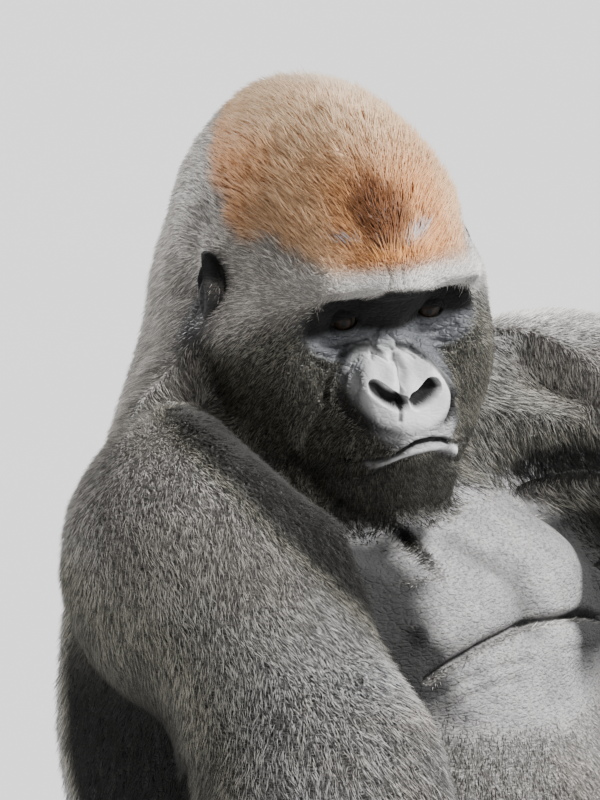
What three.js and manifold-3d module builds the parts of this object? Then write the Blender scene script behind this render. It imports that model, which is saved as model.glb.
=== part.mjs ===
// A silverback gorilla, life size, sitting on the floor with its elbows on its knees and its
// head turned to its right. Millimetres, +Z up. It faces -Y, its left side is +X, and the
// origin is the middle of the flat that it sits on. Every surface is the outside of the coat.
import * as THREE from "three";
import { LoftGeometry } from "three/addons/geometries/LoftGeometry.js";
import { mergeVertices } from "three/addons/utils/BufferGeometryUtils.js";
import Module from "manifold-3d";

const at = (x, y, z) => new THREE.Vector3(x, y, z);
const UPRIGHT = at(0, 0, 1);
const ACROSS = at(1, 0, 0);
const BACKWARD = at(0, 1, 0);

// ---- Driving dimensions -------------------------------------------------------------------
const GAP = 0.3; // between two touching pieces
const EAR_HEIGHT = 860; // over the floor, sitting
const RIGHT = -1;
const LEFT = 1;

// Head: its own frame is level, faces -Y and starts between the ears at the height of the eyes.
const HEAD_PLACE = at(-5, 20, EAR_HEIGHT);
const HEAD_TURN = THREE.MathUtils.degToRad(-27); // to its own right
const HEAD_NOD = THREE.MathUtils.degToRad(10); // face down
const HEAD_ROLL = THREE.MathUtils.degToRad(-3); // left eye higher
const PUPIL_SPACING = 71;
const EYE_RADIUS = 12.2;
const EYE_AHEAD = 86; // eyeball centre in front of the ears
const EAR_PLACE = at(95, -6, 0); // sideways, back and up
const EAR_HALF_LENGTH = 18;
const EAR_HALF_HEIGHT = 30;
const EAR_FLARE = 0.45; // radians that its rear edge stands out
const EAR_SIDES = 10;
const HEAD_CENTRE = at(0, -32, -18); // sees the whole surface of the head
const HEAD_DETAIL = 8;
const HEAD_ROOM_DETAIL = 5; // of the hollow that the neck and chest leave for the head
const HEAD_ROOM = 6; // and how much larger than the head it is
const CHEEK_ROOM = 70; // of the hollow in front of the right cheek
const FLATNESS = 0.3; // corners that stand out less than this are dropped

// Joints of the limbs, at rest.
const SHOULDER = { [RIGHT]: at(-250, -55, 695), [LEFT]: at(258, -48, 702) };
const ELBOW = { [RIGHT]: at(-322, -318, 360), [LEFT]: at(372, -322, 394) };
const WRIST = { [RIGHT]: at(-140, -545, 268), [LEFT]: at(232, -585, 318) };
const HIP = { [RIGHT]: at(-112, -5, 140), [LEFT]: at(112, -5, 140) };
const KNEE = { [RIGHT]: at(-305, -300, 202), [LEFT]: at(338, -292, 250) };
const ANKLE = { [RIGHT]: at(-262, -520, 72), [LEFT]: at(285, -520, 72) };
const HAND_AIM = { [RIGHT]: at(0.25, -0.62, -0.75), [LEFT]: at(-0.2, -0.66, -0.72) };
const TOE_OUT = { [RIGHT]: -0.3, [LEFT]: 0.34 }; // sideways for each unit ahead
const SHOULDER_CUT = 208; // the arm starts this far from the middle, at the shoulder's height
const SHOULDER_CUT_LEAN = 0.16; // and further out below, to miss the ribs
const ARM_START = 0.3; // share of the upper arm that belongs to the shoulder
const NECK_CUT = { place: at(0, 55, 712), normal: at(0, -0.17, 0.985) };
const NAPE_CUT = { place: at(-3, 45, 765), normal: at(-0.25, -0.75, 0.61).normalize() };
const NECK_TOP = { place: at(12, 84, 915), normal: at(0, -0.15, 0.99).normalize() };
const CHEST_CUT = { place: at(0, -10, 430), normal: at(0, 0, 1) };
const HIP_CUT = { place: at(0, 0, 262), normal: at(0, 0, 1) };
const DIGIT_SIDES = 6;
const DIGIT_THICKNESS = 0.88; // for each unit of width

const direction = (a, b) => at(0, 0, 0).subVectors(b, a).normalize();
const between = (a, b, share) => a.clone().lerp(b, share);
const move = (start, ...steps) =>
  steps.reduce((place, [direction, far]) => place.addScaledVector(direction, far), start.clone());
const mirrored = (make) => [RIGHT, LEFT].flatMap(make);

// ---- Flesh: rounded masses that flow into each other ----------------------------------------
// An ellipsoid of three radii, turned by Euler angles in degrees.
function lump(place, radii, turn = [0, 0, 0], blend = 30) {
  const angles = turn.map((angle) => THREE.MathUtils.degToRad(angle));
  const back = new THREE.Quaternion().setFromEuler(new THREE.Euler(...angles)).invert();
  const local = at(0, 0, 0);
  function depth(point) {
    local.subVectors(point, place).applyQuaternion(back).divide(radii);
    const ratio = local.length();
    const steepness = local.divide(radii).length();
    return steepness < 1e-9 ? -Math.min(radii.x, radii.y, radii.z) : (ratio * (ratio - 1)) / steepness;
  }
  return { depth, blend };
}

// A tapering limb with round ends.
function limb(from, to, startRadius, endRadius, blend = 25) {
  const axis = at(0, 0, 0).subVectors(to, from);
  const span = axis.lengthSq();
  const local = at(0, 0, 0);
  function depth(point) {
    local.subVectors(point, from);
    const share = THREE.MathUtils.clamp(local.dot(axis) / span, 0, 1);
    const radius = THREE.MathUtils.lerp(startRadius, endRadius, share);
    return local.addScaledVector(axis, -share).length() - radius;
  }
  return { depth, blend };
}

function softMin(a, b, blend) {
  const near = Math.max(blend - Math.abs(a - b), 0) / blend;
  return Math.min(a, b) - (near * near * blend) / 4;
}

// Masses joined softly, with hollows pressed into them: negative inside, positive outside.
function flesh(masses, hollows = []) {
  return (point) => {
    let depth = masses[0].depth(point);
    for (const mass of masses.slice(1)) depth = softMin(depth, mass.depth(point), mass.blend);
    for (const hollow of hollows) depth = -softMin(-depth, hollow.depth(point), hollow.blend);
    return depth;
  };
}

// How far the surface lies from a point inside, along a direction.
function reach(body, from, direction, most, grow) {
  const probe = at(0, 0, 0);
  const depthAt = (far) => body(probe.copy(from).addScaledVector(direction, far)) - grow;
  let inside = 0;
  let outside = 0;
  while (outside < most && depthAt(outside) < 0) {
    inside = outside;
    outside += Math.max(2, -0.7 * depthAt(outside));
  }
  for (let halving = 0; halving < 12; halving++) {
    const middle = (inside + outside) / 2;
    if (depthAt(middle) < 0) inside = middle;
    else outside = middle;
  }
  return Math.min(inside, most);
}

// ---- Surfaces wrapped on the flesh -----------------------------------------------------------
// A ring of the surface in the plane of a station of the spine.
function ring(body, station, across, sides, most, grow) {
  const side = across.clone().addScaledVector(station.ahead, -across.dot(station.ahead)).normalize();
  const up = at(0, 0, 0).crossVectors(station.ahead, side);
  return Array.from({ length: sides }, (_, i) => {
    const angle = (i / sides) * 2 * Math.PI;
    const out = side.clone().multiplyScalar(Math.cos(angle)).addScaledVector(up, Math.sin(angle));
    return station.place.clone().addScaledVector(out, reach(body, station.place, out, most, grow));
  });
}

const even = (t) => t;

// A closed length of the body between two cut planes. The planes between them turn evenly.
function length({ body, start, end, across, rings, sides, most = 400, grow = 0, ease = even }) {
  const sections = Array.from({ length: rings }, (_, i) => {
    const t = ease(i / (rings - 1));
    const station = {
      place: start.place.clone().lerp(end.place, t),
      ahead: start.normal.clone().lerp(end.normal, t).normalize(),
    };
    if (i === 0) station.place.addScaledVector(station.ahead, GAP / 2);
    if (i === rings - 1) station.place.addScaledVector(station.ahead, -GAP / 2);
    return ring(body, station, across, sides, most, grow);
  });
  return new LoftGeometry(sections, { capStart: true, capEnd: true });
}

// A ball pulled out from a centre to the surface.
function ball(body, centre, detail, grow = 0) {
  const geometry = new THREE.IcosahedronGeometry(1, detail);
  const places = geometry.getAttribute("position");
  const out = at(0, 0, 0);
  for (let i = 0; i < places.count; i++) {
    out.fromBufferAttribute(places, i).normalize();
    out.multiplyScalar(reach(body, centre, out, 400, grow)).add(centre);
    places.setXYZ(i, out.x, out.y, out.z);
  }
  return geometry;
}

// ---- Solids: joining and cutting -----------------------------------------------------------
const wasm = await Module();
wasm.setup();

function solid(geometry) {
  const bare = new THREE.BufferGeometry().setAttribute("position", geometry.getAttribute("position").clone());
  if (geometry.index) bare.setIndex(geometry.index);
  const merged = mergeVertices(bare, 1e-3);
  return new wasm.Manifold(
    new wasm.Mesh({
      numProp: 3,
      vertProperties: merged.getAttribute("position").array,
      triVerts: new Uint32Array(merged.index.array),
    }),
  );
}

function geometryOf(piece) {
  const largest = piece.decompose().sort((a, b) => b.volume() - a.volume())[0];
  const { vertProperties, triVerts } = largest.simplify(FLATNESS).getMesh();
  const geometry = new THREE.BufferGeometry();
  geometry.setAttribute("position", new THREE.BufferAttribute(new Float32Array(vertProperties), 3));
  geometry.setIndex(new THREE.BufferAttribute(new Uint32Array(triVerts), 1));
  const flat = geometry.toNonIndexed();
  flat.computeVertexNormals();
  return flat;
}

// Everything on the side of a plane that its normal points to, less half the gap.
function beyond({ place, normal }) {
  const size = 3000;
  const block = new THREE.BoxGeometry(size, size, size).translate(0, 0, size / 2 + GAP / 2);
  block.applyQuaternion(new THREE.Quaternion().setFromUnitVectors(at(0, 0, 1), normal.clone().normalize()));
  return solid(block.translate(place.x, place.y, place.z));
}

// ---- Head, in its own frame -----------------------------------------------------------------
const headMasses = [
  lump(at(0, 6, 38), at(97, 128, 82)), // braincase under the temple muscles
  lump(at(0, 42, 74), at(56, 98, 64), [-10, 0, 0], 50), // crest and its pad
  lump(at(0, 70, -15), at(94, 92, 95), [0, 0, 0], 50), // back of the head
  ...mirrored((side) => [
    limb(at(0, -104, 31), at(side * 54, -97, 27), 18.5, 19, 14), // brow ridge
    limb(at(side * 54, -97, 27), at(side * 81, -64, 12), 19, 20, 18),
    limb(at(side * 68, -80, -30), at(side * 90, -22, -24), 22, 25, 24), // cheekbone
    lump(at(side * 62, -40, -64), at(46, 66, 66), [0, 0, side * 8], 34), // jaw muscle and cheek fur
    limb(at(side * 34, -98, -124), at(side * 70, -8, -98), 32, 39, 30), // lower jaw
    limb(at(side * 10, -92, -14), at(side * 15, -106, -44), 14, 16, 16), // side of the nose bridge
    lump(at(side * 17, -128, -50), at(20, 18, 22), [0, 0, 0], 9), // nostril wing
  ]),
  lump(at(0, -88, -78), at(54, 62, 46), [0, 0, 0], 24), // muzzle
  lump(at(0, -110, -76), at(46, 42, 20), [0, 0, 0], 14), // upper lip
  lump(at(0, -107, -99), at(40, 41, 17), [0, 0, 0], 10), // lower lip
  lump(at(0, -90, -142), at(46, 44, 34), [0, 0, 0], 22), // chin and its beard
  lump(at(0, 0, -92), at(66, 78, 48), [0, 0, 0], 40), // throat
];
const headHollows = mirrored((side) => [
  lump(at((side * PUPIL_SPACING) / 2, -112, -4), at(27, 20, 16), [0, 0, side * 14], 9), // eye socket
]);
const headFlesh = flesh(headMasses, headHollows);

// ---- Trunk ------------------------------------------------------------------------------------
const byShoulder = (side, outward, backward, upward) =>
  move(SHOULDER[side], [ACROSS, side * outward], [BACKWARD, backward], [UPRIGHT, upward]);
const deltoid = (side) => lump(byShoulder(side, 2, 14, -20), at(92, 108, 106), [0, 0, 0], 45);
const trapezius = (side) => limb(at(side * 94, 68, 738), byShoulder(side, -34, 44, 24), 74, 74, 60);

// The head is turned to its right and sinks between the neck and that shoulder.
const underCheek = [
  [at(-86, -2, 816), at(-231, -104, 847)],
  [at(-73, -29, 788), at(-218, -131, 820)],
  [at(-60, -56, 761), at(-205, -158, 792)],
].map(([deep, open]) => limb(deep, open, CHEEK_ROOM, CHEEK_ROOM, 15));

const trunk = flesh(
  [
    lump(at(0, 26, 530), at(222, 196, 192)), // rib cage
    lump(at(0, -26, 375), at(224, 232, 222), [0, 0, 0], 60), // belly
    lump(at(0, 20, 150), at(226, 196, 170), [0, 0, 0], 60), // rump
    limb(at(0, 62, 700), at(6, 78, 850), 116, 94, 40), // neck column
    limb(at(10, 95, 780), at(28, 92, 900), 82, 67, 40), // nape muscle up to the crest
    lump(at(0, 44, 640), at(196, 118, 112), [0, 0, 0], 50), // upper chest
    ...mirrored((side) => [
      trapezius(side),
      deltoid(side),
      lump(at(side * 112, 50, 612), at(98, 114, 112), [0, 0, 0], 40), // back muscle behind the arm
      lump(at(side * 82, -92, 604), at(112, 56, 64), [-42, 0, side * 12], 30), // chest muscle
    ]),
  ],
  [
    limb(at(0, -110, 715), at(0, -200, 640), 10, 8, 26), // groove between the chest muscles
    ...underCheek,
  ],
);

// ---- Limbs -------------------------------------------------------------------------------------
// The hand's own directions: along the fingers, out of its back, and the axis that it curls about.
function handFrame(side) {
  const aim = HAND_AIM[side].clone().normalize();
  const back = at(0, -0.75, 0.66);
  back.addScaledVector(aim, -back.dot(aim)).normalize();
  const hingeAxis = at(0, 0, 0).crossVectors(back, aim);
  const thumbward = hingeAxis.clone().multiplyScalar(-side);
  return { aim, back, hingeAxis, thumbward };
}

// The foot's own directions, level on the floor, and the middle of its heel.
function footFrame(side) {
  const aim = at(TOE_OUT[side], -1, 0).normalize();
  const hingeAxis = at(0, 0, 0).crossVectors(UPRIGHT, aim);
  const inward = hingeAxis.clone().multiplyScalar(-side);
  const heel = move(at(ANKLE[side].x, ANKLE[side].y, 0), [aim, -48]);
  return { aim, hingeAxis, inward, heel };
}

function armFlesh(side) {
  const { aim, thumbward, back } = handFrame(side);
  const [shoulder, elbow, wrist] = [SHOULDER[side], ELBOW[side], WRIST[side]];
  const palm = (across, ahead, behind = 0) => move(wrist, [aim, ahead], [thumbward, across], [back, -behind]);
  const masses = [
    deltoid(side),
    trapezius(side),
    limb(shoulder, elbow, 88, 66, 40),
    lump(between(shoulder, elbow, 0.48).add(at(0, 22, -10)), at(80, 84, 120), [38, 0, 0], 40), // triceps
    limb(elbow, between(elbow, wrist, 0.35), 62, 66, 30),
    limb(between(elbow, wrist, 0.3), wrist, 66, 40, 30),
    limb(wrist, palm(18, 70), 34, 25, 30), // the palm's thumb side
    limb(wrist, palm(-20, 66), 34, 24, 30), // and its other side
    limb(palm(36, 92), palm(-34, 84), 22, 20, 20), // knuckles
    limb(palm(16, 20, 8), palm(44, 58, 12), 24, 20, 24), // heel of the thumb
  ];
  return flesh(masses, side === RIGHT ? underCheek : []);
}

function legFlesh(side) {
  const { aim, inward, heel } = footFrame(side);
  const [hip, knee, ankle] = [HIP[side], KNEE[side], ANKLE[side]];
  const sole = (across, ahead, height) => move(heel, [aim, ahead], [inward, across], [UPRIGHT, height]);
  return flesh([
    limb(hip, knee, 98, 70),
    limb(knee, between(knee, ankle, 0.45), 66, 58, 30),
    limb(between(knee, ankle, 0.4), ankle, 58, 40, 30),
    lump(sole(0, 0, 28), at(33, 42, 33), [0, 0, 0], 30), // heel
    limb(ankle, sole(4, 120, 34), 38, 30, 30), // instep
    limb(sole(-16, 20, 24), sole(-22, 150, 18), 26, 20, 24), // outer edge
    limb(sole(34, 168, 17), sole(-34, 158, 15), 20, 17, 24), // ball
    limb(sole(14, 40, 22), sole(34, 120, 22), 24, 23, 24), // root of the great toe
  ]);
}

const bisector = (a, b, c) => ({ place: b, normal: direction(a, b).add(direction(b, c)).normalize() });
const hinge = (a, b, c) => direction(a, b).cross(direction(b, c)).normalize();
const square = (a, b, share) => ({ place: between(a, b, share), normal: direction(a, b) });

// A finger or toe: phalanges that bend in turn about one axis, with a ring of corners at each
// knuckle. Its top is flat, and the last flat, over the tip, carries the nail.
function digit({ root, aim, hinge: across, bones, bends, radii }) {
  const place = root.clone();
  const ahead = aim.clone().normalize();
  const sections = [];
  const addRing = (radius) => {
    const back = at(0, 0, 0).crossVectors(ahead, across);
    const corners = Array.from({ length: DIGIT_SIDES }, (_, i) => {
      const angle = (i / DIGIT_SIDES) * 2 * Math.PI;
      const thick = radius * DIGIT_THICKNESS * Math.sin(angle);
      return move(place, [across, radius * Math.cos(angle)], [back, thick]);
    });
    sections.push(corners);
  };
  addRing(radii[0]);
  bones.forEach((bone, i) => {
    const halfTurn = THREE.MathUtils.degToRad(bends[i] / 2);
    ahead.applyAxisAngle(across, halfTurn);
    if (i > 0) addRing(radii[i]);
    ahead.applyAxisAngle(across, halfTurn);
    if (i < bones.length - 1) place.addScaledVector(ahead, bone);
  });
  const lastBone = bones.at(-1);
  const tip = radii.at(-1);
  place.addScaledVector(ahead, lastBone / 2);
  addRing(radii.at(-2) * 0.98);
  place.addScaledVector(ahead, lastBone / 2 - 0.45 * tip);
  addRing(tip * 0.86);
  place.addScaledVector(ahead, 0.45 * tip);
  addRing(tip * 0.42);
  const [flatStart, flatEnd] = sections.slice(-3, -1).map((corners) => between(corners[1], corners[2], 0.5));
  const nailPlace = between(flatStart, flatEnd, 0.6);
  return {
    body: solid(new LoftGeometry(sections, { capStart: true, capEnd: true })),
    nail: { place: nailPlace, ahead: direction(flatStart, flatEnd), across, size: tip },
  };
}

// A nail: half of a flat lens.
function nail({ place, ahead, across, size }) {
  const lens = new THREE.SphereGeometry(1, 6, 4).rotateX(Math.PI / 2);
  lens.scale(size * 0.66, size * 0.8, size * 0.3);
  const up = at(0, 0, 0).crossVectors(ahead, across);
  const turn = new THREE.Matrix4().makeBasis(across.clone().negate(), ahead, up);
  lens.applyMatrix4(turn.setPosition(place));
  return solid(lens).intersect(beyond({ place: move(place, [up, GAP / 2]), normal: up }));
}

// The thumb and then the four fingers, from the index to the little one.
function fingers(side) {
  const { aim, back, hingeAxis, thumbward } = handFrame(side);
  const thumb = digit({
    root: move(WRIST[side], [aim, 46], [thumbward, 40], [back, -12]),
    aim: move(aim, [thumbward, 0.62], [back, -0.25]),
    hinge: hingeAxis,
    bones: [36, 27],
    bends: [6, 16],
    radii: [17, 15, 13],
  });
  const long = [
    { across: 36, ahead: 84, bones: [47, 31, 25], width: 1 },
    { across: 13, ahead: 90, bones: [53, 35, 27], width: 1.03 },
    { across: -11, ahead: 86, bones: [49, 33, 26], width: 1 },
    { across: -33, ahead: 78, bones: [39, 26, 22], width: 0.88 },
  ].map(({ across, ahead, bones, width }, i) =>
    digit({
      root: move(WRIST[side], [aim, ahead], [thumbward, across], [back, 3]),
      aim: move(aim, [thumbward, across / 500]),
      hinge: hingeAxis,
      bones,
      bends: [14 + 3 * i, 30 + 2 * i, 18],
      radii: [18, 17, 15.5, 14].map((radius) => radius * width),
    }),
  );
  return [thumb, ...long];
}

// The great toe and then the four others.
function toes(side) {
  const { aim, hingeAxis, inward, heel } = footFrame(side);
  const great = digit({
    root: move(heel, [aim, 92], [inward, 36], [UPRIGHT, 21]),
    aim: move(aim, [inward, 0.62]),
    hinge: hingeAxis,
    bones: [58, 38],
    bends: [3, 6],
    radii: [21, 19.5, 17],
  });
  const small = [
    { across: 33, ahead: 160, bones: [36, 24, 18], width: 1 },
    { across: 11, ahead: 163, bones: [36, 25, 18], width: 1 },
    { across: -11, ahead: 158, bones: [33, 23, 17], width: 0.96 },
    { across: -32, ahead: 150, bones: [28, 19, 16], width: 0.9 },
  ].map(({ across, ahead, bones, width }) =>
    digit({
      root: move(heel, [aim, ahead], [inward, across], [UPRIGHT, 18]),
      aim: move(aim, [inward, across / 400], [UPRIGHT, 0.18]),
      hinge: hingeAxis,
      bones,
      bends: [4, 20, 16],
      radii: [15.5, 15, 14, 12.5].map((radius) => radius * width),
    }),
  );
  return [great, ...small];
}

// ---- The scene -----------------------------------------------------------------------------------
const FINISHES = {
  crown: [0x55453a, 0.9],
  coat: [0x34322f, 0.9],
  skin: [0x4a4847, 0.65],
  eye: [0x2a1508, 0.1],
  nails: [0x1d1a18, 0.4],
};
const SIDE_NAME = { [RIGHT]: "right", [LEFT]: "left" };
const gorilla = new THREE.Group();

function add(name, piece, finish, group = gorilla) {
  const [color, roughness] = FINISHES[finish];
  const material = new THREE.MeshStandardMaterial({ color, roughness, metalness: 0 });
  const mesh = new THREE.Mesh(geometryOf(piece), material);
  mesh.name = name;
  group.add(mesh);
}

// Head group: head, eyes and ears in the head's own frame.
const headGroup = new THREE.Group();
headGroup.position.copy(HEAD_PLACE);
headGroup.rotation.set(HEAD_NOD, HEAD_ROLL, HEAD_TURN, "ZXY");
headGroup.updateMatrix();
gorilla.add(headGroup);

function eyeball(side, radius) {
  const sphere = new THREE.SphereGeometry(radius, 10, 7).rotateX(Math.PI / 2);
  return solid(sphere.translate((side * PUPIL_SPACING) / 2, -EYE_AHEAD, -2));
}

// An ear: a shallow bowl with a rolled rim.
function ear(side) {
  const profile = [
    [0, -3],
    [0.62, -4],
    [0.92, 1],
    [1, 6],
    [0.95, 9],
    [0.74, 4],
    [0.45, 0],
    [0, -0.5],
  ].map(([radius, height]) => new THREE.Vector2(radius, height));
  const bowl = new THREE.LatheGeometry(profile, EAR_SIDES).rotateX(Math.PI / 2);
  bowl.scale(EAR_HALF_LENGTH, EAR_HALF_HEIGHT, 1);
  const turn = new THREE.Matrix4().makeBasis(at(0, side, 0), UPRIGHT, at(side, 0, 0));
  turn.premultiply(new THREE.Matrix4().makeRotationZ(side * -EAR_FLARE));
  turn.setPosition(side * EAR_PLACE.x, EAR_PLACE.y, EAR_PLACE.z);
  return solid(bowl.applyMatrix4(turn));
}

let head = solid(ball(headFlesh, HEAD_CENTRE, HEAD_DETAIL));
const headGrown = solid(ball(headFlesh, HEAD_CENTRE, HEAD_DETAIL, GAP + 0.2));
for (const side of [RIGHT, LEFT]) {
  head = head.subtract(eyeball(side, EYE_RADIUS + GAP));
  add(`eye_${SIDE_NAME[side]}`, eyeball(side, EYE_RADIUS), "eye", headGroup);
  add(`ear_${SIDE_NAME[side]}`, ear(side).subtract(headGrown), "skin", headGroup);
}
const level = headGroup.matrix.clone().invert();
const napeInHead = {
  place: NAPE_CUT.place.clone().applyMatrix4(level),
  normal: NAPE_CUT.normal.clone().transformDirection(level),
};
add("head", head.intersect(beyond(napeInHead)), "crown", headGroup);

// Room for the head in what it meets: a coarser and slightly larger copy of it.
const coarseHead = solid(ball(headFlesh, HEAD_CENTRE, HEAD_ROOM_DETAIL, HEAD_ROOM));
const headRoom = mirrored(ear)
  .reduce((whole, one) => whole.add(one), coarseHead)
  .transform(headGroup.matrix.elements)
  .intersect(beyond({ place: move(NAPE_CUT.place, [NAPE_CUT.normal, -GAP]), normal: NAPE_CUT.normal }));

// Trunk, cut into neck, chest, belly and rump by level planes, and from the arms by slanted ones.
const flipped = ({ place, normal }) => ({ place, normal: normal.clone().negate() });
const shoulderCut = (side) => ({
  place: at(side * SHOULDER_CUT, 0, SHOULDER[side].z),
  normal: at(side, 0, SHOULDER_CUT_LEAN).normalize(),
});
const armless = (piece) =>
  mirrored(shoulderCut).reduce((rest, cut) => rest.intersect(beyond(flipped(cut))), piece);
const trunkLength = (start, end, rings, sides, more = {}) =>
  solid(length({ body: trunk, start, end, across: ACROSS, rings, sides, ...more }));

const neck = trunkLength(NECK_CUT, NECK_TOP, 7, 20);
add("neck", armless(neck).subtract(headRoom), "coat");
const chest = trunkLength(CHEST_CUT, NECK_CUT, 9, 26);
add("chest", armless(chest).subtract(headRoom), "skin");
const seat = { place: at(0, 0, -GAP / 2), normal: UPRIGHT };
const underBelly = (start, end, grow = 0) => trunkLength(start, end, 6, 24, { grow });
const overFloor = (end, grow = 0) => trunkLength(seat, end, 6, 24, { grow, ease: (t) => t ** 1.5 });
add("belly", underBelly(HIP_CUT, CHEST_CUT), "coat");
add("rump", overFloor(HIP_CUT), "coat");

// Room for the trunk in the thighs, which grow out of it.
const loweredHips = { place: move(HIP_CUT.place, [UPRIGHT, -2 * GAP]), normal: UPRIGHT };
const trunkRoom = underBelly(loweredHips, CHEST_CUT, 2 * GAP).add(overFloor(HIP_CUT, 2 * GAP));

// Limbs
function addArm(side) {
  const name = SIDE_NAME[side];
  const [shoulder, elbow, wrist] = [SHOULDER[side], ELBOW[side], WRIST[side]];
  const { aim, hingeAxis } = handFrame(side);
  const armCut = square(shoulder, elbow, ARM_START);
  const elbowCut = bisector(shoulder, elbow, wrist);
  const wristCut = square(elbow, wrist, 0.92);
  const knuckleCut = { place: move(wrist, [aim, 96]), normal: aim };
  const body = armFlesh(side);
  const across = hinge(shoulder, elbow, wrist);

  const joint = solid(ball(body, shoulder, 3)).intersect(beyond(shoulderCut(side)));
  add(`shoulder_${name}`, joint.intersect(beyond(flipped(armCut))), "coat");
  const upper = length({ body, start: armCut, end: elbowCut, across, rings: 6, sides: 16, most: 190 });
  add(`upper_arm_${name}`, solid(upper), "coat");
  const lower = length({ body, start: elbowCut, end: wristCut, across, rings: 6, sides: 14, most: 150 });
  add(`forearm_${name}`, solid(lower), "coat");
  const palm = { body, start: wristCut, end: knuckleCut, across: hingeAxis, rings: 5, sides: 12, most: 90 };
  addDigits("finger", side, solid(length(palm)), fingers, `hand_${name}`);
}

function addLeg(side) {
  const name = SIDE_NAME[side];
  const [hip, knee, ankle] = [HIP[side], KNEE[side], ANKLE[side]];
  const { aim, heel } = footFrame(side);
  const kneeCut = bisector(hip, knee, ankle);
  const ankleCut = square(knee, ankle, 0.86);
  const body = legFlesh(side);
  const across = hinge(hip, knee, ankle);

  const hipCut = square(hip, knee, 0.1);
  const thigh = length({ body, start: hipCut, end: kneeCut, across, rings: 6, sides: 16, most: 200 });
  add(`thigh_${name}`, solid(thigh).subtract(trunkRoom), "coat");
  const shin = length({ body, start: kneeCut, end: ankleCut, across, rings: 6, sides: 14, most: 150 });
  add(`shin_${name}`, solid(shin), "coat");
  const arch = move(heel, [aim, 68], [UPRIGHT, 30]);
  const foot = solid(ball(body, arch, 3)).intersect(beyond(ankleCut));
  addDigits("toe", side, foot, toes, `foot_${name}`);
}

// Joins the digits to their hand or foot, above the floor, and lays the nails on them.
function addDigits(kind, side, root, digits, name) {
  const set = digits(side);
  const whole = set.reduce((joined, one) => joined.add(one.body), root);
  add(name, whole.intersect(beyond(seat)), "skin");
  set.forEach((one, i) => add(`${kind}nail_${SIDE_NAME[side]}_${i + 1}`, nail(one.nail), "nails"));
}

for (const side of [RIGHT, LEFT]) {
  addArm(side);
  addLeg(side);
}

export default gorilla;
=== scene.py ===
"""A life-size sitting gorilla: its skin, eyes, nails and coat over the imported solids, in metres."""

import math

import bmesh
import bpy
import numpy as np
from mathutils import Matrix, Vector, noise
from mathutils.bvhtree import BVHTree


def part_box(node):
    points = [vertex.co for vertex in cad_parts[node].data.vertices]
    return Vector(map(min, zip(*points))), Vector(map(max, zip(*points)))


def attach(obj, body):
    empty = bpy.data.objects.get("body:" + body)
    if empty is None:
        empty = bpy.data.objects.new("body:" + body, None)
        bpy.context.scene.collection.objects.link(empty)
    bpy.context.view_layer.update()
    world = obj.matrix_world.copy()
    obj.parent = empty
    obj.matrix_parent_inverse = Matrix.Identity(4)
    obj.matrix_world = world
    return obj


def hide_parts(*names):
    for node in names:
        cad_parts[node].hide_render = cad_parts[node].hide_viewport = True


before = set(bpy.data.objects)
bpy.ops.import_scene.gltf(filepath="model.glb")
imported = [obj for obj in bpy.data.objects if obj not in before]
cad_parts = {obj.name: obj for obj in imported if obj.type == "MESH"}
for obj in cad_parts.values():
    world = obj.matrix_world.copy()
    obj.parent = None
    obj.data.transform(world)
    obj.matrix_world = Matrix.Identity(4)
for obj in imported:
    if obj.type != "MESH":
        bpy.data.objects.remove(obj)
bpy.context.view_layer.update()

MM = 0.001
SIDES = {"right": -1, "left": 1}
SEED = 7

# The head's own frame has its origin between the ears, x to the animal's left, y back and z up.
HEAD_TURN = math.radians(-27)
HEAD_NOD = math.radians(10)
HEAD_ROLL = math.radians(-3)
EYES_IN_HEAD = Vector((0, -86, -2)) * MM

# Joints, from shoulder to wrist and from hip to ankle.
SHOULDER = {"right": Vector((-250, -55, 695)) * MM, "left": Vector((258, -48, 702)) * MM}
ELBOW = {"right": Vector((-322, -318, 360)) * MM, "left": Vector((372, -322, 394)) * MM}
WRIST = {"right": Vector((-140, -545, 268)) * MM, "left": Vector((232, -585, 318)) * MM}
HIP = {"right": Vector((-112, -5, 140)) * MM, "left": Vector((112, -5, 140)) * MM}
KNEE = {"right": Vector((-305, -300, 202)) * MM, "left": Vector((338, -292, 250)) * MM}
ANKLE = {"right": Vector((-262, -520, 72)) * MM, "left": Vector((285, -520, 72)) * MM}
HAND_AIM = {"right": Vector((0.25, -0.62, -0.75)), "left": Vector((-0.2, -0.66, -0.72))}

VOXEL = 3.2 * MM  # the skin's first mesh
GAP_CLOSING = 3.0 * MM  # the parts of the body are swollen this much, so that they run together
SMALL_GAP_CLOSING = 0.7 * MM  # for the parts that would lose their shape
SKIN_TRIANGLES = 78_000  # before the face is divided
SMOOTHING_ROUNDS = 40
SHOULDER_ROUNDS = 160  # more of them where the neck, the chest and the shoulders run together
SWELL = 0.53  # each round shrinks by 0.5 and swells by this
SHOULDER_SWELL = 0.504


def direction(start, end):
    """The unit vector from one point to another."""
    return (end - start).normalized()


def limb_of(node):
    """A node's name without its side, and its side."""
    name, _, side = node.rpartition("_")
    return (name, side) if side in SIDES else (node, None)


# --- Meshes as arrays -------------------------------------------------------------------------


def points(mesh):
    co = np.empty(len(mesh.vertices) * 3, np.float32)
    mesh.vertices.foreach_get("co", co)
    return co.reshape(-1, 3).astype(float)


def move_points(mesh, co):
    mesh.vertices.foreach_set("co", co.astype(np.float32).ravel())
    mesh.update()


def point_normals(mesh):
    normal = np.empty(len(mesh.vertices) * 3, np.float32)
    mesh.vertex_normals.foreach_get("vector", normal)
    return normal.reshape(-1, 3).astype(float)


def edge_ends(mesh):
    ends = np.empty(len(mesh.edges) * 2, np.int32)
    mesh.edges.foreach_get("vertices", ends)
    return ends.reshape(-1, 2)


def triangle_corners(mesh):
    mesh.calc_loop_triangles()
    corners = np.empty(len(mesh.loop_triangles) * 3, np.int32)
    mesh.loop_triangles.foreach_get("vertices", corners)
    return corners.reshape(-1, 3)


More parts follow.
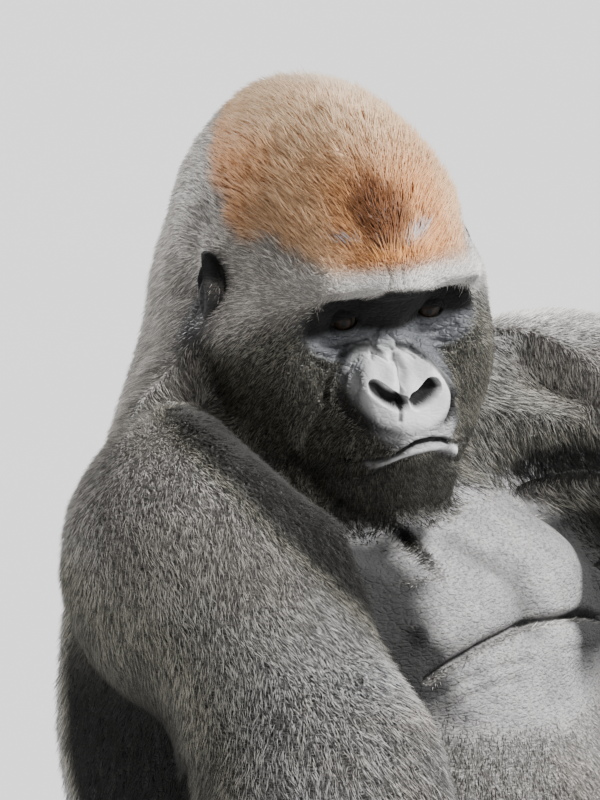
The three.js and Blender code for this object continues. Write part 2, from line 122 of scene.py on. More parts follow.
def unit(vectors):
    return vectors / np.maximum(np.linalg.norm(vectors, axis=1, keepdims=True), 1e-12)


def neighbour_mean(values, ends):
    """The mean of each point's neighbours, for one number or several a point."""
    values = values.reshape(len(values), -1)
    a, b = ends[:, 0], ends[:, 1]
    count = np.bincount(a, minlength=len(values)) + np.bincount(b, minlength=len(values))
    total = np.empty_like(values)
    for column in range(values.shape[1]):
        total[:, column] = np.bincount(a, values[b, column], len(values))
        total[:, column] += np.bincount(b, values[a, column], len(values))
    return total / np.maximum(count, 1)[:, None]


def spread(values, ends, rounds):
    """Smooths a map over the skin."""
    shape = values.shape
    for _ in range(rounds):
        values = 0.5 * values.reshape(len(values), -1) + 0.5 * neighbour_mean(values, ends)
    return values.reshape(shape)


def smooth_surface(co, ends, rounds, swell=SWELL, share=1.0):
    """Takes out facets and keeps the volume: each round shrinks a little, then swells a little more."""
    for _ in range(rounds):
        co = co + 0.5 * share * (neighbour_mean(co, ends) - co)
        co = co - swell * share * (neighbour_mean(co, ends) - co)
    return co


def step(low, high, value):
    """0 below low, 1 above high and a smooth rise between; low may be above high."""
    t = np.clip((value - low) / (high - low), 0, 1)
    return t * t * (3 - 2 * t)


# --- The head's frame -------------------------------------------------------------------------

head_turn = (
    Matrix.Rotation(HEAD_TURN, 3, "Z")
    @ Matrix.Rotation(HEAD_NOD, 3, "X")
    @ Matrix.Rotation(HEAD_ROLL, 3, "Y")
)
eye_middle = {side: sum(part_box(f"eye_{side}"), Vector()) / 2 for side in SIDES}
eye_radius = (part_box("eye_left")[1].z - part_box("eye_left")[0].z) / 2
head_place = (eye_middle["left"] + eye_middle["right"]) / 2 - head_turn @ EYES_IN_HEAD
head_axes = np.array(head_turn)  # a column for each of the head's own directions


def in_head(co):
    """Points of the frame in the head's own millimetres: x to its left, y ahead, z up from the eyes."""
    local = (co - np.array(head_place)) @ head_axes / MM
    local[:, 1] *= -1
    return local


# --- The skin ---------------------------------------------------------------------------------

FLESH = [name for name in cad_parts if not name.startswith(("eye_", "fingernail", "toenail"))]


def with_modifiers(obj):
    """The object's mesh with its modifiers applied; the modifiers are taken off."""
    depsgraph = bpy.context.evaluated_depsgraph_get()
    mesh = bpy.data.meshes.new_from_object(obj.evaluated_get(depsgraph))
    obj.modifiers.clear()
    old = obj.data
    obj.data = mesh
    bpy.data.meshes.remove(old)
    return mesh


def new_piece(name, bm):
    """A new object from a bmesh, which is freed."""
    mesh = bpy.data.meshes.new(name)
    bm.to_mesh(mesh)
    bm.free()
    piece = bpy.data.objects.new(name, mesh)
    bpy.context.scene.collection.objects.link(piece)
    return piece


def solid_tree():
    """A tree of all the parts of flesh, and the part that each of its triangles belongs to."""
    co, corners, part = [], [], []
    for number, name in enumerate(FLESH):
        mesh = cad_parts[name].data
        triangles = triangle_corners(mesh) + sum(len(c) for c in co)
        co.append(points(mesh))
        corners.append(triangles)
        part.append(np.full(len(triangles), number))
    tree = BVHTree.FromPolygons(np.concatenate(co).tolist(), np.concatenate(corners).tolist())
    return tree, np.concatenate(part)


flesh_tree, part_of_triangle = solid_tree()


class Spots:
    """Points and their directions outwards, with their places in the frame's and the head's own mm."""

    def __init__(self, co, normal):
        self.co = co
        self.normal = normal
        self.across, self.y, self.up = (co / MM).T
        self.head = in_head(co)


class Surface(Spots):
    """A mesh as arrays, with its edges and the part of flesh nearest to each of its points."""

    def __init__(self, mesh):
        super().__init__(points(mesh), point_normals(mesh))
        self.ends = edge_ends(mesh)
        nearest = [flesh_tree.find_nearest(point)[2] for point in self.co.tolist()]
        self.part = part_of_triangle[nearest]

    def on(self, *names, side=None):
        """1 on the points whose part has one of these names, 0 elsewhere."""
        wanted = [
            number
            for number, node in enumerate(FLESH)
            if limb_of(node)[0] in names and side in (None, limb_of(node)[1])
        ]
        return np.isin(self.part, wanted).astype(float)

    def spread(self, values, rounds):
        return spread(values, self.ends, rounds)


def oval(x, z, centre, radii, edge=0.25):
    """1 inside an oval and 0 outside, with an edge as soft as this share of its radii."""
    reach = np.hypot((x - centre[0]) / radii[0], (z - centre[1]) / radii[1])
    return 1 - step(1 - edge, 1 + edge, reach)


def distance_to_line(x, z, line):
    """How far points lie from a line of (across, up)."""
    nearest = np.full(len(x), np.inf)
    for (x0, z0), (x1, z1) in zip(line, line[1:]):
        run, rise = x1 - x0, z1 - z0
        along = np.clip(((x - x0) * run + (z - z0) * rise) / (run**2 + rise**2), 0, 1)
        nearest = np.minimum(nearest, np.hypot(x - x0 - along * run, z - z0 - along * rise))
    return nearest


def near_line(x, z, line, width):
    """1 on a line, falling off over this width."""
    return np.exp(-((distance_to_line(x, z, line) / width) ** 2))


def near_middle(x, z, centre, radii):
    """1 in the middle of a mass, falling off over its radii."""
    return np.exp(-(((x - centre[0]) / radii[0]) ** 2) - ((z - centre[1]) / radii[1]) ** 2)


def swollen(name, swelling):
    """A CAD node's solid as one merged mesh, swollen along its normals."""
    bm = bmesh.new()
    bm.from_mesh(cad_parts[name].data)
    bmesh.ops.remove_doubles(bm, verts=bm.verts, dist=1e-6)
    bm.normal_update()
    for vert in bm.verts:
        vert.co += vert.normal * swelling
    mesh = bpy.data.meshes.new(name)
    bm.to_mesh(mesh)
    bm.free()
    return mesh


def gap_closing(name):
    return SMALL_GAP_CLOSING if name.startswith(("hand", "foot", "ear")) else GAP_CLOSING


def run_together(name):
    """One closed mesh round all the parts of flesh."""
    bm = bmesh.new()
    for node in FLESH:
        solid = swollen(node, gap_closing(node))
        bm.from_mesh(solid)
        bpy.data.meshes.remove(solid)
    piece = new_piece(name, bm)
    remesh = piece.modifiers.new("one surface", "REMESH")
    remesh.mode = "VOXEL"
    remesh.voxel_size = VOXEL
    with_modifiers(piece)
    return piece


def face_front(surface):
    """The front of the face, where the skin is bare or nearly so."""
    x, ahead, z = surface.head.T
    return oval(x, z, (0, -45), (88, 105), 0.05) * (ahead > 62) * surface.on("head")


def chest_front(surface):
    """The front of the chest, down to just below the fold under its muscles."""
    in_height = (surface.up > 540) * (surface.up < 705)
    return in_height * (np.abs(surface.across) < 175) * (surface.y < -70) * surface.on("chest")


def thin_out(piece):
    """Fewer triangles, except on the face and the chest; the flattest places lose the most."""
    surface = Surface(piece.data)
    coarse = np.maximum(face_front(surface), chest_front(surface)) == 0
    group = piece.vertex_groups.new(name="coarse")
    group.add(np.nonzero(coarse)[0].tolist(), 1.0, "REPLACE")
    fewer = piece.modifiers.new("fewer triangles", "DECIMATE")
    fewer.ratio = SKIN_TRIANGLES / sum(len(polygon.vertices) - 2 for polygon in piece.data.polygons)
    fewer.vertex_group = group.name
    with_modifiers(piece)
    piece.vertex_groups.clear()


def keep_outer_shell(piece):
    """Drops the closed pockets that are left inside where parts meet."""
    bm = bmesh.new()
    bm.from_mesh(piece.data)
    top = max(bm.verts, key=lambda vert: vert.co.z)
    outer, waiting = {top}, [top]
    while waiting:
        for edge in waiting.pop().link_edges:
            for vert in edge.verts:
                if vert not in outer:
                    outer.add(vert)
                    waiting.append(vert)
    bmesh.ops.delete(bm, geom=[vert for vert in bm.verts if vert not in outer], context="VERTS")
    bm.to_mesh(piece.data)
    bm.free()


def divide(piece, chosen):
    """Cuts the edges between chosen points in two, so that the skin there has four times the faces."""
    bm = bmesh.new()
    bm.from_mesh(piece.data)
    bm.verts.ensure_lookup_table()
    edges = [edge for edge in bm.edges if all(chosen[vert.index] for vert in edge.verts)]
    bmesh.ops.subdivide_edges(bm, edges=edges, cuts=1, use_grid_fill=True, smooth=0.0)
    bmesh.ops.triangulate(bm, faces=[face for face in bm.faces if len(face.verts) > 3])
    bm.to_mesh(piece.data)
    bm.free()


def smooth_shoulders(piece):
    """Makes one dome of the neck, the back and each shoulder, and fills the hollow under the chin."""
    surface = Surface(piece.data)
    across, up = surface.across, surface.up
    share = surface.on("neck", "chest", "shoulder") * step(90, 130, np.abs(across)) * step(560, 640, up)
    share *= 1 - chest_front(surface)
    under_chin = (np.abs(across + 20) < 80) * (up > 655) * (up < 720) * (surface.y < -30)
    share = np.maximum(share, under_chin * surface.on("neck", "chest"))
    share = surface.spread(share, 12)[:, None]
    co = smooth_surface(surface.co, surface.ends, SHOULDER_ROUNDS, SHOULDER_SWELL, share)
    move_points(piece.data, co)


skin = run_together("skin")
thin_out(skin)
keep_outer_shell(skin)
move_points(skin.data, smooth_surface(points(skin.data), edge_ends(skin.data), SMOOTHING_ROUNDS))
smooth_shoulders(skin)


# --- Coat lengths and bare skin ---------------------------------------------------------------

# For each part: how deep the coat lies over the skin, a tuft's length and width, all in
# millimetres, how far it stands off the skin in degrees, and the tufts on a square centimetre.
COAT = {
    "head": (4.5, 9, 0.9, 20, 50),
    "ear": (0, 5, 0.8, 20, 8),
    "neck": (7, 12, 1.0, 22, 37),
    "chest": (6, 14, 1.2, 22, 21),
    "belly": (6, 14, 1.3, 20, 13),
    "rump": (7, 18, 1.9, 18, 9),
    "shoulder": (7, 9, 0.8, 24, 52),
    "upper_arm": (6, 10, 0.85, 22, 44),
    "forearm": (8, 22, 1.4, 20, 20),
    "hand": (3, 8, 1.1, 14, 20),
    "thigh": (7, 18, 1.9, 18, 9),
    "shin": (7, 18, 1.8, 18, 11),
    "foot": (3, 8, 1.1, 14, 22),
}
DEPTH, LENGTH, WIDTH, LIFT, DENSITY = range(5)

# On the head, in its millimetres: the ear, out from the middle, ahead and up; the middles of nose and
# mouth; the line between the lips and the middle of the lower lip; and the top and foot of the band of
# painted shadow under the brow, round the eyes.
EAR_PLACE = (99, 6, 0)
NOSE_ASIDE = -9.0
MOUTH_ASIDE = -4.0
MOUTH_LINE = [
    (-45, -100), (-36, -99), (-26, -97), (-21, -95), (-16, -91), (-10, -86),
    (-1, -81), (12, -80), (24, -83), (57, -103), (67, -106),
]
LIP = [(-22, -99), (-12, -93), (-2, -87.5), (12, -86), (24, -88.5), (40, -97), (54, -105)]
BAND_TOP = ((-78, -56, -36, -21, -15, -2, 29, 60, 76), (16, 21, 21, 23, 29, 28, 23, 16, 8))
BAND_FOOT = ((-75, 0, 75), (-11, -9, -5))

# The middle of the bare chest over the floor, and its half width and height, in millimetres.
BARE_CHEST_UP = 620
BARE_CHEST_RADII = (190, 104)


def hand_directions(side):
    """Along the hand and out of its back."""
    aim = HAND_AIM[side].normalized()
    back = Vector((0, -0.75, 0.66))
    return aim, (back - aim * back.dot(aim)).normalized()


def bare_hand(surface, side):
    """The palm, the fingers and the sides of the hand."""
    aim, back = hand_directions(side)
    from_wrist = (surface.co - np.array(WRIST[side])) / MM
    on_back = step(-0.2, 0.35, surface.normal @ np.array(back))
    before_knuckles = 1 - step(70, 92, from_wrist @ np.array(aim))
    near_wrist = 1 - step(15, 45, from_wrist @ np.array(aim))
    return surface.on("hand", side=side) * (1 - np.maximum(on_back * before_knuckles, near_wrist))


def bare_foot(surface, side):
    """The sole, the toes and the edges of the foot."""
    from_ankle = np.hypot(*(surface.co - np.array(ANKLE[side]))[:, :2].T) / MM
    on_top = step(-0.1, 0.4, surface.normal[:, 2]) * step(12, 32, surface.up)
    return surface.on("foot", side=side) * (1 - on_top * (1 - step(70, 105, from_ankle)))


def bare_face(head):
    """The orbits, the nose, the upper lip and the lips."""
    x, ahead, z = head.T
    orbits = oval(x, z, (0, -3), (75, 35), 0.12) * (1 - step(-2, 2, z - np.interp(x, *BAND_TOP)))
    nose = oval(x, z, (0, -48), (47, 42), 0.12)
    upper_lip = oval(x, z, (8, -76), (40, 13), 0.2)
    lips = np.maximum(upper_lip, 1 - step(5.5, 9.0, distance_to_line(x - MOUTH_ASIDE, z, LIP)))
    return np.maximum(np.maximum(orbits, nose), lips) * step(55, 75, ahead)


def bare_chest(surface):
    """The chest and the top of the belly, in front."""
    up = surface.up
    over_middle = (up - BARE_CHEST_UP) * np.where(up < BARE_CHEST_UP, 1.3, 1.0)
    reach = np.hypot(surface.across / BARE_CHEST_RADII[0], over_middle / BARE_CHEST_RADII[1])
    middle = 1 - step(0.84, np.where(up < 580, 1.35, 1.12), reach)
    in_front = step(-40, -70, surface.y) * step(0.05, 0.3, -surface.normal[:, 1])
    return middle * in_front * surface.on("chest", "belly", "neck")


def round_ear(surface, below, radii):
    """1 on the head and neck in an oval round each ear, whose middle is this far below the ear's."""
    x, ahead, z = surface.head.T
    near = oval(ahead, z, (EAR_PLACE[1], EAR_PLACE[2] - below), radii, 0.2)
    return near * (np.abs(x) > 50) * surface.on("head", "neck")


def bare_skin(surface):
    """1 where the skin is bare, 0 under the coat."""
    bare = surface.on("ear") + surface.on("head") * bare_face(surface.head) + bare_chest(surface)
    bare += round_ear(surface, 10, (23, 32))
    for side in SIDES:
        bare += bare_hand(surface, side) + bare_foot(surface, side)
    return surface.spread(np.clip(bare, 0, 1), 2)


def coat_map(surface, column):
    """One column of COAT as a smooth map over the skin."""
    values = np.array([COAT[limb_of(node)[0]][column] for node in FLESH], float)
    return surface.spread(values[surface.part], 8)


def settle_under_coat(piece):
    """Moves the skin in by what it was swollen and by the depth of the coat."""
    surface = Surface(piece.data)
    swelling = np.array([gap_closing(node) for node in FLESH])[surface.part]
    depth = coat_map(surface, DEPTH) * MM * (1 - bare_skin(surface))
    inward = unit(surface.spread(surface.normal, 3))
    co = surface.co - inward * (surface.spread(swelling, 3) + surface.spread(depth, 3))[:, None]
    co[:, 2] = np.maximum(co[:, 2], 0)
    move_points(piece.data, co)


def refine_face(piece):
    """Four times the faces on the front of the face, and four times again round eyes, nose and mouth."""
    divide(piece, face_front(Surface(piece.data)) > 0.5)
    surface = Surface(piece.data)
    x, _, z = surface.head.T
    divide(piece, oval(x, z, (0, -46), (54, 64), 0.05) * face_front(surface) > 0.5)
    mesh = piece.data
    move_points(mesh, smooth_surface(points(mesh), edge_ends(mesh), 6))


settle_under_coat(skin)
refine_face(skin)

# --- The face ---------------------------------------------------------------------------------

# Rounded masses as (across, up), (half width, half height) and how far each stands out, in the
# head's millimetres. Those off the middle are mirrored.
NOSE_MASSES = [
    ((0, -50), (33, 25), 2.5),  # the pad
    ((22, -36), (13, 9), 3.0),  # a wing of the nose, over its nostril
    ((26, -54), (11, 12), 2.5),  # and beside and under it
    ((0, -67), (26, 7), 1.5),  # under the nostrils
    ((0, -31), (5, 11), -4.0),  # the dip between the wings
]
MOUTH_MASSES = [
    ((6, -88), (30, 5), 2.6),  # the lower lip
    ((40, -84), (16, 12), 1.6),  # the upper lip by the corner of the mouth
    ((0, -126), (22, 14), 2.0),  # the chin
]
BROW_MASSES = [
    ((42, 32), (30, 8), 2.5),  # the brow over the eye
    ((38, 14), (30, 6), -6.0),  # the hollow under it
    ((0, 13), (16, 8), -4.0),  # between the eyes
]

# Folds as lines of (across, up), how far the line stands out (in where it is negative) and its
# half width. Those wholly to one side of the middle are mirrored.
WING_LINE = [(9, -19), (19, -21), (28, -28), (35, -37), (39, -49), (38, -60), (31, -70)]
DIP_LINE = [(3.9, -24), (3.5, -30), (-1, -38), (-4, -43)]
CLEFT_LINE = [(-6, -53), (-8, -57), (-9, -62)]
NOSE_FOLDS = [
    (WING_LINE, -4.5, 2.2),
    ([(20, -20), (30, -29), (38, -40), (43, -53)], 2.4, 1.5),
    ([(25, -19), (36, -31), (45, -44), (48, -57)], -2.4, 1.5),
    ([(31, -20), (42, -32), (50, -45)], 1.8, 1.6),
    (DIP_LINE, -4.2, 3.0),
    (CLEFT_LINE, -2.2, 1.4),
    ([(-16, -12), (-6, -17), (3, -20)], -2.0, 1.1),
    ([(-13, -17), (-4, -22), (4, -22)], 1.6, 1.1),
    ([(-12, -21), (-4, -26), (2, -25)], -2.0, 1.0),
    ([(-4, -28), (-1, -36), (-1, -41)], 1.6, 0.9),
    ([(4, -12), (11, -19), (15, -25)], -1.6, 1.1),
    ([(46, -57), (53, -70), (58, -84), (58, -96)], -2.6, 3.0),
    ([(50, -60), (58, -76), (64, -90)], 1.6, 3.0),
]
MOUTH_FOLDS = [
    (MOUTH_LINE, -5.5, 1.6),
    ([(x, z + 4) for x, z in MOUTH_LINE], 1.4, 2.0),
    ([(x, z - 14) for x, z in MOUTH_LINE], -2.4, 3.5),
]
BROW_FOLDS = [
    ([(14, -11), (28, -17), (42, -20), (56, -15)], -2.0, 1.4),
    ([(18, -16), (32, -24), (48, -27), (62, -20)], -1.7, 1.5),
    ([(24, -22), (38, -31), (54, -33), (66, -25)], -1.5, 1.6),
    ([(12, -6), (17, -13), (20, -20)], -1.6, 1.4),
    ([(-15, 46), (-13, 38), (-15, 30)], -1.8, 1.0),
    ([(-4, 46), (-4, 30)], -1.8, 1.0),
]
MIRRORED_FROM = 4  # a line on one side that reaches further across than this is mirrored

# The nostrils as a line of (across, up), mirrored, with its half width, its depth and the way into
# it, back and a little up.
NOSTRIL_LINE = [(6, -50), (11, -48.5), (17, -45), (21, -41.5)]
NOSTRIL_WIDTH = 5.6
NOSTRIL_DEPTH = 12.0
INTO_NOSTRIL = Vector((0, 1, 0.35)).normalized()


def fold_strength(x, z, line, width):
    """1 on a line and on its mirror image, falling off over its half width."""
    lowest, highest = min(point[0] for point in line), max(point[0] for point in line)
    sides = (1, -1) if lowest >= 0 and highest > MIRRORED_FROM else (1,)
    return np.max([near_line(x * side, z, line, width) for side in sides], axis=0)


def mass_strength(x, z, centre, radii):
    """1 in the middle of a mass and of its mirror image, falling off over its radii."""
    sides = (1, -1) if centre[0] > 0 else (1,)
    return np.max([near_middle(x * side, z, centre, radii) for side in sides], axis=0)


def nostril_strength(head):
    """1 inside the nostrils, 0 outside them."""
    x, ahead, z = head.T
    across = np.abs(x - NOSE_ASIDE)
    distance = distance_to_line(across, z, NOSTRIL_LINE)
    return (1 - step(0.55, 1.25, distance / NOSTRIL_WIDTH)) * (ahead > 100)


def masses(x, z, shapes):
    """How far a set of masses stands out in all."""
    return sum(out * mass_strength(x, z, centre, radii) for centre, radii, out in shapes)


def folds(x, z, shapes):
    """How far a set of folds stands out in all."""
    return sum(out * fold_strength(x, z, line, width) for line, out, width in shapes)


def outward(surface):
    """Directions out of the skin, smoothed so that neighbours move alike."""
    return unit(surface.spread(surface.normal, 4))


def raise_face(piece, relief, nose, mouth, brow):
    """Moves the face's front by masses or folds; returns the surface before and the front's share."""
    surface = Surface(piece.data)
    x, ahead, z = surface.head.T
    turned_ahead = -(surface.normal @ head_axes)[:, 1]
    front = step(0.0, 0.4, turned_ahead) * step(60, 80, ahead) * surface.on("head")
    height = relief(x - NOSE_ASIDE, z, nose) + relief(x - MOUTH_ASIDE, z, mouth) + relief(x, z, brow)
    move_points(piece.data, surface.co + outward(surface) * (height * front * MM)[:, None])
    return surface, front


def shape_face(piece):
    """Raises the masses of the face, then draws its folds and hollows its nostrils."""
    raise_face(piece, masses, NOSE_MASSES, MOUTH_MASSES, BROW_MASSES)
    surface, front = raise_face(piece, folds, NOSE_FOLDS, MOUTH_FOLDS, BROW_FOLDS)
    hollow = nostril_strength(surface.head) * front * NOSTRIL_DEPTH * MM
    move_points(piece.data, points(piece.data) + np.array(head_turn @ INTO_NOSTRIL) * hollow[:, None])


shape_face(skin)

# --- The chest --------------------------------------------------------------------------------

# As on the face, but across and over the floor in the frame's millimetres, and not mirrored.
PECTORAL_FOLD = [
    (-118, 590), (-93, 600), (-65, 608), (-15, 614), (12, 613), (61, 608), (85, 604), (114, 595),
]
GROOVE = [(-30, 700), (-25, 682), (-14, 660), (1, 641), (0, 612)]
CHEST_FOLDS = [
    (PECTORAL_FOLD, -10.0, 3.6),
    (GROOVE, -6.0, 12.0),
    ([(-108, 578), (-84, 586), (-53, 590), (-20, 588)], -2.6, 2.4),
    ([(-100, 568), (-70, 577), (-36, 578)], -2.2, 2.4),
    ([(20, 588), (60, 584), (92, 576)], -2.2, 2.4),
    ([(70, 690), (110, 676), (150, 648)], -1.6, 2.2),
    ([(60, 700), (105, 688), (150, 662)], -1.6, 2.2),
]
CHEST_MASSES = [
    ((-68, 636), (60, 28), 9.0),  # the chest muscles
    ((60, 636), (62, 28), 9.0),
    ((8, 590), (110, 15), 6.0),  # under their fold
    ((118, 624), (6, 6), 8.0),  # the nipples
    ((-118, 622), (6, 6), 8.0),
]
NEAR_FOLD = 16  # how far from the fold the skin has finer faces


def shape_chest(piece):
    """The chest muscles, the groove between them, the fold under them, creases and nipples."""
    surface = Surface(piece.data)
    near_fold = distance_to_line(surface.across, surface.up, PECTORAL_FOLD) < NEAR_FOLD
    divide(piece, near_fold * chest_front(surface) > 0.5)
    surface = Surface(piece.data)
    x, z = surface.across, surface.up
    front = step(0.1, 0.5, -surface.normal[:, 1]) * step(-60, -80, surface.y)
    front *= surface.on("chest", "belly")
    height = sum(out * near_line(x, z, line, width) for line, out, width in CHEST_FOLDS)
    height += sum(out * near_middle(x, z, centre, radii) for centre, radii, out in CHEST_MASSES)
    move_points(piece.data, surface.co + outward(surface) * (height * front * MM)[:, None])


shape_chest(skin)

# --- Lids and ears ----------------------------------------------------------------------------


def from_head(x, ahead, z):
    """A place in the head's millimetres as a point of the frame."""
    return head_place + head_turn @ Vector((x, -ahead, z)) * MM


def skin_tree(piece):
    return BVHTree.FromPolygons(points(piece.data).tolist(), triangle_corners(piece.data).tolist())


def skin_ahead(tree, x, z):
    """How far ahead the face's skin lies, looked at from the front."""
    forward = head_turn @ Vector((0, -1, 0))
    place = tree.ray_cast(from_head(x, 300, z), -forward)[0]
    return (place - head_place).dot(forward) / MM


def patch(around, rings, place):
    """A ring of skin: place(turn, out) gives each point, where both go from 0 to 1."""
    bm = bmesh.new()
    bmesh.ops.create_grid(bm, x_segments=around, y_segments=rings, size=1)
    for vert in bm.verts:
        vert.co = place((vert.co.x + 1) / 2, (vert.co.y + 1) / 2)
    bmesh.ops.remove_doubles(bm, verts=bm.verts, dist=1e-6)
    return bm


# For the right and the left eye alike, in millimetres where nothing else is said.
EYE_OPENING = (12.0, 3.9, 4.9)  # half width, height above the middle and depth below it
EYE_SLANT = 1.2  # how far the corners of the opening lie off the level
CORNER_NARROWING = 0.35  # share of the opening's height that is gone at its corners
LID_REACH = (27, 17)  # half width and half height of both lids together
LID_THICKNESS = 2.0
LID_GAP = 0.2  # between the lids and the ball
LID_PROUD = 0.8  # how far the lids stand out of the face by the opening
LID_FALL = 2.2  # and how much less they do at their outer edge
LID_MARGIN = 0.12  # share of the lids' rings on their edge
LID_CREASES = [(0.36, 0.09, 0.8), (0.62, 0.08, 0.6)]  # share of the way out, width and depth
EYE_AHEAD = -EYES_IN_HEAD.y / MM
EYE_UP = EYES_IN_HEAD.z / MM


def lids(side, tree):
    """The two lids of an eye as one ring of skin, from the opening out to the face."""
    out_to = SIDES[side]
    radius = eye_radius / MM
    half_width, above, below = EYE_OPENING
    eye_across = abs((head_turn.transposed() @ (eye_middle[side] - head_place)).x) / MM

    def on_ball(x, z, gap):
        return EYE_AHEAD + math.sqrt(max((radius + gap) ** 2 - x * x - z * z, 4))

    def place(turn, out):
        across, up = math.cos(math.tau * turn), math.sin(math.tau * turn)
        opening_x = half_width * across
        opening_z = (above if up > 0 else below) * up * (1 - CORNER_NARROWING * across**4)
        opening_z -= EYE_SLANT * across
        if out <= LID_MARGIN:
            gap = LID_GAP + LID_THICKNESS * math.sin(math.pi / 2 * out / LID_MARGIN)
            local = Vector((opening_x, on_ball(opening_x, opening_z, gap), opening_z))
        else:
            share = (out - LID_MARGIN) / (1 - LID_MARGIN)
            x = opening_x + (LID_REACH[0] * across - opening_x) * share
            z = opening_z + (LID_REACH[1] * up - opening_z) * share
            face = skin_ahead(tree, (eye_across + x) * out_to, EYE_UP + z) + LID_PROUD - LID_FALL * share
            ball = on_ball(x, z, LID_GAP + LID_THICKNESS) if math.hypot(x, z) < radius else 0
            creases = LID_CREASES if up < 0 else LID_CREASES[:1]
            depth = sum(deep * math.exp(-(((share - at) / width) ** 2)) for at, width, deep in creases)
            local = Vector((x, max(face, ball) - depth, z))
        return from_head((eye_across + local.x) * out_to, local.y, EYE_UP + local.z)

    return patch(56, 22, place)


EAR_FLARE = 0.45  # radians out from the head, at its back edge
EAR_HALF_LENGTH = 19
EAR_HALF_HEIGHT = 31
LOBE_SINK = 4  # how far the lobe lies in from the rim
LOBE_NARROWING = 0.22  # share of the ear's length that is gone at the lobe
FLAP_SINK = 3  # how far the rim lies in where it meets the cheek
FLAP_RISE = 4  # how far the flap in front of the bowl stands out
# From behind the ear, over its rim and into its bowl: share of the half length and millimetres out.
EAR_PROFILE = [
    (0.5, -12), (0.8, -6), (0.96, -1), (1.03, 4), (1.03, 8), (0.97, 10), (0.9, 9.4), (0.85, 7),
    (0.8, 5), (0.73, 5), (0.66, 7), (0.58, 7.4), (0.5, 5), (0.42, 0), (0.3, -4), (0.14, -6), (0.0, -6.5),
]


def ear(side):
    """An ear: a rolled rim, the fold inside it and a bowl, with a lobe below and a flap in front."""
    out_to = SIDES[side]
    turned = Matrix.Rotation(out_to * EAR_FLARE, 3, "Z")

    def place(turn, out):
        number = out * (len(EAR_PROFILE) - 1)
        low = min(int(number), len(EAR_PROFILE) - 2)
        share = number - low
        reach, rise = (
            here * (1 - share) + further * share
            for here, further in zip(EAR_PROFILE[low], EAR_PROFILE[low + 1])
        )
        ahead, up = math.cos(math.tau * turn), math.sin(math.tau * turn)
        lobe = max(-up, 0) ** 3
        flap = max(ahead, 0) ** 4
        if reach > 0.7:
            rise -= LOBE_SINK * lobe + FLAP_SINK * flap
        elif reach > 0.3:
            rise += FLAP_RISE * flap
        length = EAR_HALF_LENGTH * reach * ahead * (1 - LOBE_NARROWING * lobe)
        local = turned @ Vector((rise * out_to, -length, EAR_HALF_HEIGHT * reach * up))
        return from_head(EAR_PLACE[0] * out_to + local.x, EAR_PLACE[1] - local.y, EAR_PLACE[2] + local.z)

    return patch(48, len(EAR_PROFILE) * 2 - 2, place)


def join_to(piece, parts):
    """Adds bmeshes to a piece's mesh and frees them."""
    whole = bmesh.new()
    whole.from_mesh(piece.data)
    for bm in parts:
        mesh = bpy.data.meshes.new("part of the skin")
        bmesh.ops.recalc_face_normals(bm, faces=bm.faces)
        bm.to_mesh(mesh)
        bm.free()
        whole.from_mesh(mesh)
        bpy.data.meshes.remove(mesh)
    whole.to_mesh(piece.data)
    whole.free()


face_tree = skin_tree(skin)
join_to(skin, [lids(side, face_tree) for side in SIDES] + [ear(side) for side in SIDES])
skin.data.shade_smooth()

# --- Markings ---------------------------------------------------------------------------------

BODY_PARTS = {
    "head": ("head", "ear"),
    "ear": ("ear",),
    "neck": ("neck",),
    "shoulder": ("shoulder",),
    "arm": ("upper_arm", "forearm", "hand"),
    "hand": ("hand", "foot"),
    "trunk": ("chest", "belly", "rump"),
    "leg": ("thigh", "shin", "foot"),
}


class Places(Spots):
    """Points of the skin, or roots of hair on it, and how far each belongs to each part of the body."""

    def __init__(self, co, normal, parts):
        super().__init__(co, normal)
        self.parts = parts

    @classmethod
    def of_skin(cls, surface):
        parts = {name: surface.spread(surface.on(*nodes), 6) for name, nodes in BODY_PARTS.items()}
        return cls(surface.co, surface.normal, parts)

    def on(self, *names):
        """How far each point belongs to any of these parts."""
        return np.clip(sum(self.parts[name] for name in names), 0, 1)


def wander(co, size, amount, shift=0.0):
    """Smooth noise over the body: waves of this size in metres, from -amount to amount."""
    aside = Vector((shift, 0, 0))
    return amount * np.array([noise.noise(Vector(point) / size + aside) for point in co.tolist()])


# The markings' edges, all in millimetres. In step(a, b, c) a marking starts where c is a and is
# whole where c is b.

# On the head, from behind to ahead of the ears: the lower edges of the cap and of the pale temple.
CAP_EDGE = ((-100, -60, -31, -1, 16, 31, 50, 95, 107), (112, 96, 81, 68, 54, 43, 40, 40, 42))
CAP_RISE = 14  # how much higher the cap's edge is beside the temples
TEMPLE_EDGE = ((0, 45, 67, 95, 120), (-20, -20, -6, 11, 25))

# On the front of the cap: the middles and the radii of its bright fringe and its dark patch.
FRINGE = ((-4, 45), (44, 7))
DARK_PATCH = ((-10, 77), (18, 22))
SCARS = [((-38, 61), 9, 0.0), ((14, 62), 12, 0.25)]  # middle, half length and slope
SCAR_HALF_HEIGHT = 2.6

# Half the silver saddle's width, from low to high on the back.
SADDLE_HALF_WIDTH = ((300, 540), (270, 120))

# On the chest, from low to high: where the shade by the right arm ends and the one by the left
# armpit starts, across.
ARM_SHADE_EDGE = ((540, 590, 620, 645, 668, 695), (-82, -100, -106, -102, -78, 5))
ARMPIT_EDGE = ((575, 590, 611, 628, 650), (50, 54, 58, 84, 124))

# Out of the crease between the jaw and the right shoulder, where the jaw's shadow is painted, and how
# far along it the crease lies.
OUT_OF_CREASE, CREASE_HEIGHT = np.array((0.50, -0.50, 0.71)), 468

# Painted shade in the coat raises the dusk share past 1; at 2 the hair is black.
NEARLY_BLACK = 1.9  # a share of dusk: 1 is dusky hair and 2 is black
FROST_LOST = 0.85  # the share of frost that is lost in dusk


def past_edge(along, out, edge):
    """How far out places lie from an edge that is given as (along, out)."""
    return out - np.interp(along, *edge)


